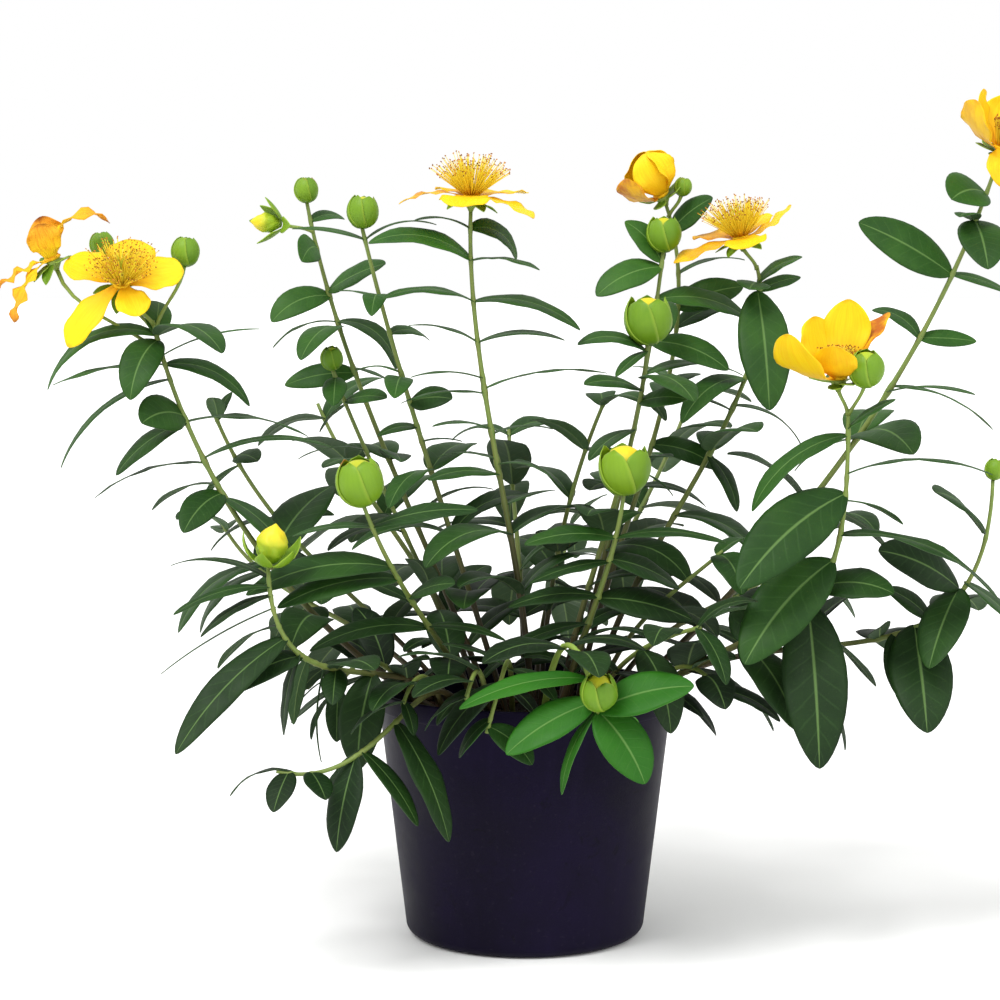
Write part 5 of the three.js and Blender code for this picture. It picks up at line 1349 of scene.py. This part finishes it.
def withered_look():
    look = Look("withered_petal", 0.7, specular=0.15, subsurface=0.06)
    _, _, own = look.tone()
    across, along = look.place()
    where = look.vector(look.times(across, 22.0), look.times(along, 4.0), own)
    grain = look.noise(1.0, 4.0, where=where)
    base = look.mix(look.smooth(along, 0.2, 0.95), (240, 196, 26), (230, 158, 40))
    base = look.tint(base, look.smooth(grain, 0.46, 0.7), 0.7, (212, 124, 24))
    ragged = look.plus(along, look.times(look.noise(120.0, 3.0), 0.3))
    base = look.mix(look.smooth(ragged, 1.0, 1.22), base, (122, 54, 26))
    look.bump(grain, 0.7, 0.0012)
    return look.color(base)


def pot_look():
    look = Look("pot_plastic", 0.6, specular=0.08)
    cloud = look.noise(14.0, 5.0, 0.6)
    base = look.mix(look.smooth(cloud, 0.3, 0.75), (9, 5, 23), (17, 10, 36))
    scuff = look.smooth(look.noise(55.0, 6.0, 0.7, distortion=1.2), 0.58, 0.7)
    base = look.tint(base, scuff, 0.6, (5, 3, 10))
    dust = look.smooth(look.noise(320.0, 3.0), 0.6, 0.8)
    base = look.tint(base, dust, 0.06, (90, 84, 96))
    scale = (60.0, 60.0, 5.0)
    stretched = look.node("Mapping", {"Vector": look.position(), "Scale": scale}).outputs[0]
    streak = look.noise(1.0, 3.0, where=stretched)
    base = look.tint(base, look.smooth(streak, 0.5, 0.75), 0.2, (26, 18, 48))
    height = look.plus(look.times(scuff, -0.4), look.noise(900.0, 2.0))
    look.bump(height, 0.12, 0.0006)
    look.roughness(look.smooth(cloud, 0.25, 0.8, 0.45, 0.64))
    return look.color(base)


def soil_look():
    look = Look("soil", 0.95, specular=0.15)
    grain = look.noise(260.0, 6.0, 0.7)
    base = look.mix(look.smooth(grain, 0.3, 0.7), (14, 10, 8), (40, 29, 21))
    fleck = look.smooth(look.noise(700.0, 2.0), 0.64, 0.72)
    base = look.tint(base, fleck, 0.5, (84, 66, 48))
    look.bump(grain, 0.9, 0.003)
    return look.color(base)


def bark_look():
    look = Look("bark_crumb", 0.9, specular=0.15)
    light, _, _ = look.tone()
    scale = (900.0, 220.0, 420.0)
    stretched = look.node("Mapping", {"Vector": look.position(), "Scale": scale}).outputs[0]
    grain = look.noise(1.0, 4.0, where=stretched)
    base = look.mix(light, (22, 15, 10), (62, 44, 29))
    base = look.mix(look.smooth(grain, 0.4, 0.65), base, (58, 40, 28))
    look.bump(grain, 0.8, 0.001)
    return look.color(base)


def floor_look():
    look = Look("floor", 0.9, specular=0.1)
    base = look.mix(look.noise(3.0, 2.0), (246, 246, 245), (250, 250, 249))
    look.bump(look.noise(300.0, 2.0), 0.02, 0.0005)
    return look.color(base)


leaves_of = grow()
LOOKS = dict(
    leaf_upper=leaf_upper_look(), leaf_under=leaf_under_look(), stem=stem_look(), petal=petal_look(),
    thread=thread_look(), anther=anther_look(), ovary=ovary_look(), sepal=sepal_look(),
    bud_petal=bud_petal_look(), withered=withered_look(), pot=pot_look(), soil=soil_look(),
    bark=bark_look(), floor=floor_look(),
)

# Starts of the seeded draws for each kind of piece
SEEDS = dict(
    leaves=7000, wood=9000, buds=11000, blooms=13000, opening_buds=17000, withered=19000, soil=23000
)

# Leaves are dark below one height, as the stems shade each other there, and light from another on
DARK_HEIGHT = 170
LIGHT_HEIGHT = 370

# How fresh a stem's leaves are near its tip, where they aren't as dark as the others
FRESH_SHARE = 0.8
FRESH = {"stem_front_bud": 0.75, "stem_right_front": 0.1, "stem_front_left_short": 0.15}

# How far the sepals of a bud have parted
OPENNESS = {
    "stem_right_bud": 0.35, "stem_right_tall": 0.25, "stem_front_right_bud": 0.5,
    "stem_front_left_bud": 0.15, "stalk_front_bud": 0.2, "stem_left_mid": 0.2,
}

# How worn single petals of a bloom are, by their place in its list
WORN = {
    "bloom_front_right": {2: 0.9, 1: 0.15}, "bloom_right": {3: 0.35, 2: 0.5},
    "bloom_top": {0: 0.6, 1: 0.4}, "bloom_cupped": {3: 0.8},
    "bloom_far_right": {3: 0.3, 4: 0.2}, "bloom_far_left": {1: 0.2},
}


# What a stem's tip and stalks carry


def of_stem(things, stem):
    return [thing for thing in things if stem_name_of(thing["on"]) == stem["name"]]


def build_leaves(stem):
    draw = seeded_draw(SEEDS["leaves"] + OWNER_OF[stem["name"]])
    assembly = Assembly()
    for leaf in leaves_of[stem["name"]]:
        # Painted shade: leaves lower on the plant get a darker light tone, plus a random share for each
        # leaf
        high = min(1, max(0, (leaf["root"][2] - DARK_HEIGHT) / (LIGHT_HEIGHT - DARK_HEIGHT)))
        light = min(1, max(0, 0.12 + 0.62 * high + 0.36 * (draw() - 0.5)))
        young = FRESH.get(stem["name"], 0.0) if leaf["share"] > FRESH_SHARE else 0.0
        fresh = min(1, young * (0.6 + 0.6 * draw()) + 0.1 * draw() * leaf["share"])
        add_leaf(assembly, leaf, (light, fresh, draw()), draw)
    materials = [LOOKS["leaf_upper"], LOOKS["leaf_under"]]
    assembly.piece(f"{stem['name']}_leaves", materials, "foliage", stem["name"])


def build_wood(stem):
    draw = seeded_draw(SEEDS["wood"] + OWNER_OF[stem["name"]])
    assembly = Assembly()
    fresh = FRESH.get(stem["name"], 0.0)
    add_stem(assembly, stem, (draw(), fresh, draw()))
    for stalk in STALKS:
        if stalk["stem"] == stem["name"]:
            add_stalk(assembly, stalk, (draw(), 0.5, draw()))
    for bloom in of_stem(ALL_BLOOMS, stem):
        add_calyx(assembly, bloom, (draw(), 0.6, draw()))
    assembly.piece(f"{stem['name']}_wood", [LOOKS["stem"]], "foliage", stem["name"])


def build_buds(stem):
    buds = of_stem(BUDS, stem)
    opening = of_stem(OPENING_BUDS, stem)
    blooms = of_stem(ALL_BLOOMS, stem)
    if not buds and not opening and not blooms:
        return
    draw = seeded_draw(SEEDS["buds"] + OWNER_OF[stem["name"]])
    assembly = Assembly()
    for bud in buds:
        openness = OPENNESS.get(bud["on"], 0.05)
        add_bud_body(assembly, bud, (draw(), openness * 2, draw()), 1)
        for sepal in range(BUD_SEPALS):
            turn = 2 * math.pi * (sepal + 0.3 * draw()) / BUD_SEPALS
            add_bud_sepal(assembly, bud, turn, (draw(), draw(), draw()), openness)
    for bud in opening:
        for sepal in open_sepals_of(bud):
            add_sepal(assembly, sepal, (0.8, 0.8, draw()), draw)
    for bloom in blooms:
        for sepal in sepals_of(bloom):
            add_sepal(assembly, sepal, (0.2 * draw(), 0.8, draw()), draw)
    materials = [LOOKS["sepal"], LOOKS["bud_petal"]]
    assembly.piece(f"{stem['name']}_buds", materials, "foliage", stem["name"])


def build_bloom(bloom):
    owner = OWNER_OF[stem_name_of(bloom["on"])]
    draw = seeded_draw(SEEDS["blooms"] + len(bloom["name"]) * 31 + owner)
    petals = Assembly()
    add_disc(petals, bloom, (0.2, 0.1, draw()))
    worn = WORN.get(bloom["name"], {})
    for index, petal in enumerate(petals_of(bloom)):
        add_petal(petals, petal, (draw(), worn.get(index, 0.04), draw()), draw, ripple=1.2)
    petals.piece(f"{bloom['name']}_petals_fine", [LOOKS["petal"]], "petals", f"{bloom['name']}_petals")
    threads = Assembly()
    anthers = Assembly()
    add_stamens(threads, anthers, bloom, draw)
    add_ovary(threads, bloom, (draw(), 0.5, draw()), 1)
    materials = [LOOKS["thread"], LOOKS["ovary"]]
    threads.piece(f"{bloom['name']}_filaments", materials, "stamens", f"{bloom['name']}_stamens")
    anthers.piece(f"{bloom['name']}_anthers", [LOOKS["anther"]], "stamens", f"{bloom['name']}_stamens")


def build_opening_bud(bud):
    draw = seeded_draw(SEEDS["opening_buds"] + len(bud["name"]))
    petals = Assembly()
    add_rolled_petals(petals, bud, (draw(), 1.0, draw()))
    petals.piece(f"{bud['name']}_rolled", [LOOKS["bud_petal"]], "petals", f"{bud['name']}_petals")


def build_withered(bloom):
    draw = seeded_draw(SEEDS["withered"])
    assembly = Assembly()
    add_disc(assembly, bloom, (0.2, 1, draw()))
    for petal in petals_of(bloom):
        add_petal(assembly, petal, (draw(), draw(), draw()), draw, ripple=3.2)
    assembly.piece("bloom_withered_petals", [LOOKS["withered"]], "withered_petals", "bloom_withered")


# Pot and soil

POT_SIDES = 168
DRAIN_SIDES = 32
SOIL_RINGS = 46
SOIL_SIDES = 120
SOIL_DEPTH = 12
CRUMBS = 420


def arc(centre_radius, centre_height, radius, start, end, steps):
    """Points of an arc of a profile, with its angles in degrees from the outward level."""
    angles = [radians(start + (end - start) * step / steps) for step in range(steps + 1)]
    return [(centre_radius + radius * math.cos(a), centre_height + radius * math.sin(a)) for a in angles]


def pot_profile():
    under_rim = POT_HEIGHT - POT_RIM_DEPTH
    foot = POT_FOOT_RADIUS - POT_ROUNDING + 0.4
    inner = POT_RIM_RADIUS - POT_WALL - 0.5
    return [
        (1.0, 0.6), (foot - 8, 0.6), (foot - 6, 0.0), (foot - 1, 0.0),
        *arc(foot, POT_ROUNDING, POT_ROUNDING, -80, 0, 8),
        (POT_TOP_RADIUS, under_rim),
        *arc(POT_RIM_RADIUS - 1.5, under_rim + 1.5, 1.5, -90, 0, 4),
        *arc(POT_RIM_RADIUS - 1.25, POT_HEIGHT - 1.25, 1.25, 0, 90, 4),
        *arc(inner + 0.9, POT_HEIGHT - 0.9, 0.9, 90, 180, 4),
        (POT_TOP_RADIUS - POT_WALL, under_rim),
        (POT_FOOT_RADIUS - POT_WALL, POT_FLOOR + POT_ROUNDING),
        (POT_FOOT_RADIUS - POT_ROUNDING, POT_FLOOR),
        (1.0, POT_FLOOR),
    ]


def build_pot():
    assembly = Assembly()
    rings = lathe_points(vector([0, 0, 0]), UP, pot_profile(), POT_SIDES)
    add_rings(assembly, rings, (0.5, 0.5, 0.5))
    pot = assembly.piece("pot_shell", [LOOKS["pot"]], "pot_plastic", "pot")
    for hole in range(DRAIN_HOLES):
        angle = 2 * math.pi * (hole + 0.5) / DRAIN_HOLES
        cut_drain(pot, DRAIN_CIRCLE_RADIUS * math.cos(angle), DRAIN_CIRCLE_RADIUS * math.sin(angle))


def cut_drain(pot, x, y):
    """Cuts one drain hole through the pot's floor."""
    bpy.ops.mesh.primitive_cylinder_add(
        vertices=DRAIN_SIDES, radius=DRAIN_RADIUS * METRES, depth=0.02, location=(x * METRES, y * METRES, 0)
    )
    cutter = bpy.context.object
    cut = pot.modifiers.new("drain", "BOOLEAN")
    cut.object = cutter
    cut.solver = "EXACT"
    bpy.context.view_layer.objects.active = pot
    bpy.ops.object.modifier_apply(modifier=cut.name)
    bpy.data.objects.remove(cutter)


def soil_height(x, y):
    """The height of the uneven soil at a place."""
    broad = noise.noise((x / 26, y / 26, 0.4)) * 1.5
    fine = noise.noise((x / 6, y / 6, 3.1)) * 0.8 + noise.noise((x / 2.2, y / 2.2, 7.7)) * 0.45
    return SOIL_TOP - 1.5 + broad + fine


def build_soil():
    top_radius = pot_radius(np.array([SOIL_TOP - 4.0]))[0] - POT_WALL - 1
    angles = 2 * np.pi * np.arange(SOIL_SIDES) / SOIL_SIDES
    points = []
    for ring in range(SOIL_RINGS):
        radius = 0.4 + (top_radius - 0.4) * (1 - ring / (SOIL_RINGS - 1))
        flat = [(radius * math.cos(a), radius * math.sin(a)) for a in angles]
        if not points:
            points.append([(0.98 * x, 0.98 * y, SOIL_TOP - SOIL_DEPTH) for x, y in flat])
        points.append([(x, y, soil_height(x, y)) for x, y in flat])
    assembly = Assembly()
    add_rings(assembly, np.array(points), (0.5, 0.5, 0.5))
    assembly.piece("soil_bed", [LOOKS["soil"]], "soil", "soil")
    draw = seeded_draw(SEEDS["soil"])
    crumbs = Assembly()
    for _ in range(CRUMBS):
        angle = 2 * math.pi * draw()
        radius = (top_radius - 4) * math.sqrt(draw())
        add_crumb(crumbs, radius * math.cos(angle), radius * math.sin(angle), draw)
    crumbs.piece("soil_crumbs", [LOOKS["bark"]], "soil", "soil")


def add_crumb(assembly, x, y, draw):
    """A rough chip of bark or a clod, lying on the soil."""
    size = 0.9 + 2.6 * draw() ** 2
    long_way = unit(vector([draw() - 0.5, draw() - 0.5, 0.3 * (draw() - 0.5)]) + 1e-3)
    stretch = 1 + 1.6 * draw()
    profile = [(0.25, -1), (0.75, -0.7), (1, -0.1), (0.85, 0.5), (0.3, 1)]
    profile = [(radius * size, height * size * stretch) for radius, height in profile]
    centre = vector([x, y, soil_height(x, y) + 0.3 * size])
    rings = lathe_points(centre, long_way, profile, 7, 6 * draw())
    for ring in rings:
        for point in ring:
            away = point - centre
            point += away * 0.5 * (draw() - 0.5)
            point[2] = centre[2] + (point[2] - centre[2]) * 0.55
    add_rings(assembly, rings, (draw(), draw(), draw()))


# Floor, lights and camera

CAMERA_PLACE = (-0.016, -1.7, 0.45)
CAMERA_PITCH = 5.8
FOCAL_PIXELS = 2694
PHOTO_PIXELS = 1000
SENSOR = 36
FLOOR_SIZE = 30
FLOOR_DROP = 0.0005


def build_floor():
    bpy.ops.mesh.primitive_plane_add(size=FLOOR_SIZE, location=(0, 0, -FLOOR_DROP))
    floor = bpy.context.object
    floor.name = "floor"
    floor.data.materials.append(LOOKS["floor"])


def add_sun(name, way, angle, strength):
    """Parallel light that travels along a way, softened by the angle that its source covers."""
    lamp = bpy.data.lights.new(name, "SUN")
    lamp.energy = strength
    lamp.angle = radians(angle)
    light = put(name, lamp)
    away = -vector(way)
    light.rotation_euler = (
        math.atan2(math.hypot(away[0], away[1]), away[2]), 0, math.atan2(away[0], -away[1]),
    )


def build_studio():
    build_floor()
    add_sun("key_sun", (0.45, 0.55, -1.0), 24, 2.2)
    add_sun("fill_sun", (-0.8, 0.8, -0.7), 40, 0.6)
    world = bpy.data.worlds.new("studio")
    world.use_nodes = True
    background = world.node_tree.nodes["Background"]
    background.inputs["Color"].default_value = (1, 1, 1, 1)
    background.inputs["Strength"].default_value = 1.0
    bpy.context.scene.world = world
    bpy.context.scene.view_settings.view_transform = "Standard"


def build_camera():
    lens = bpy.data.cameras.new("camera")
    lens.sensor_width = SENSOR
    lens.lens = SENSOR * FOCAL_PIXELS / PHOTO_PIXELS
    camera = put("camera", lens)
    camera.location = CAMERA_PLACE
    camera.rotation_euler = (radians(90 - CAMERA_PITCH), 0, 0)
    bpy.context.scene.camera = camera


for stem in STEMS:
    build_leaves(stem)
    build_wood(stem)
    build_buds(stem)
for bloom in BLOOMS:
    build_bloom(bloom)
for bud in OPENING_BUDS:
    build_opening_bud(bud)
build_withered(WITHERED)
build_pot()
build_soil()
build_studio()
build_camera()
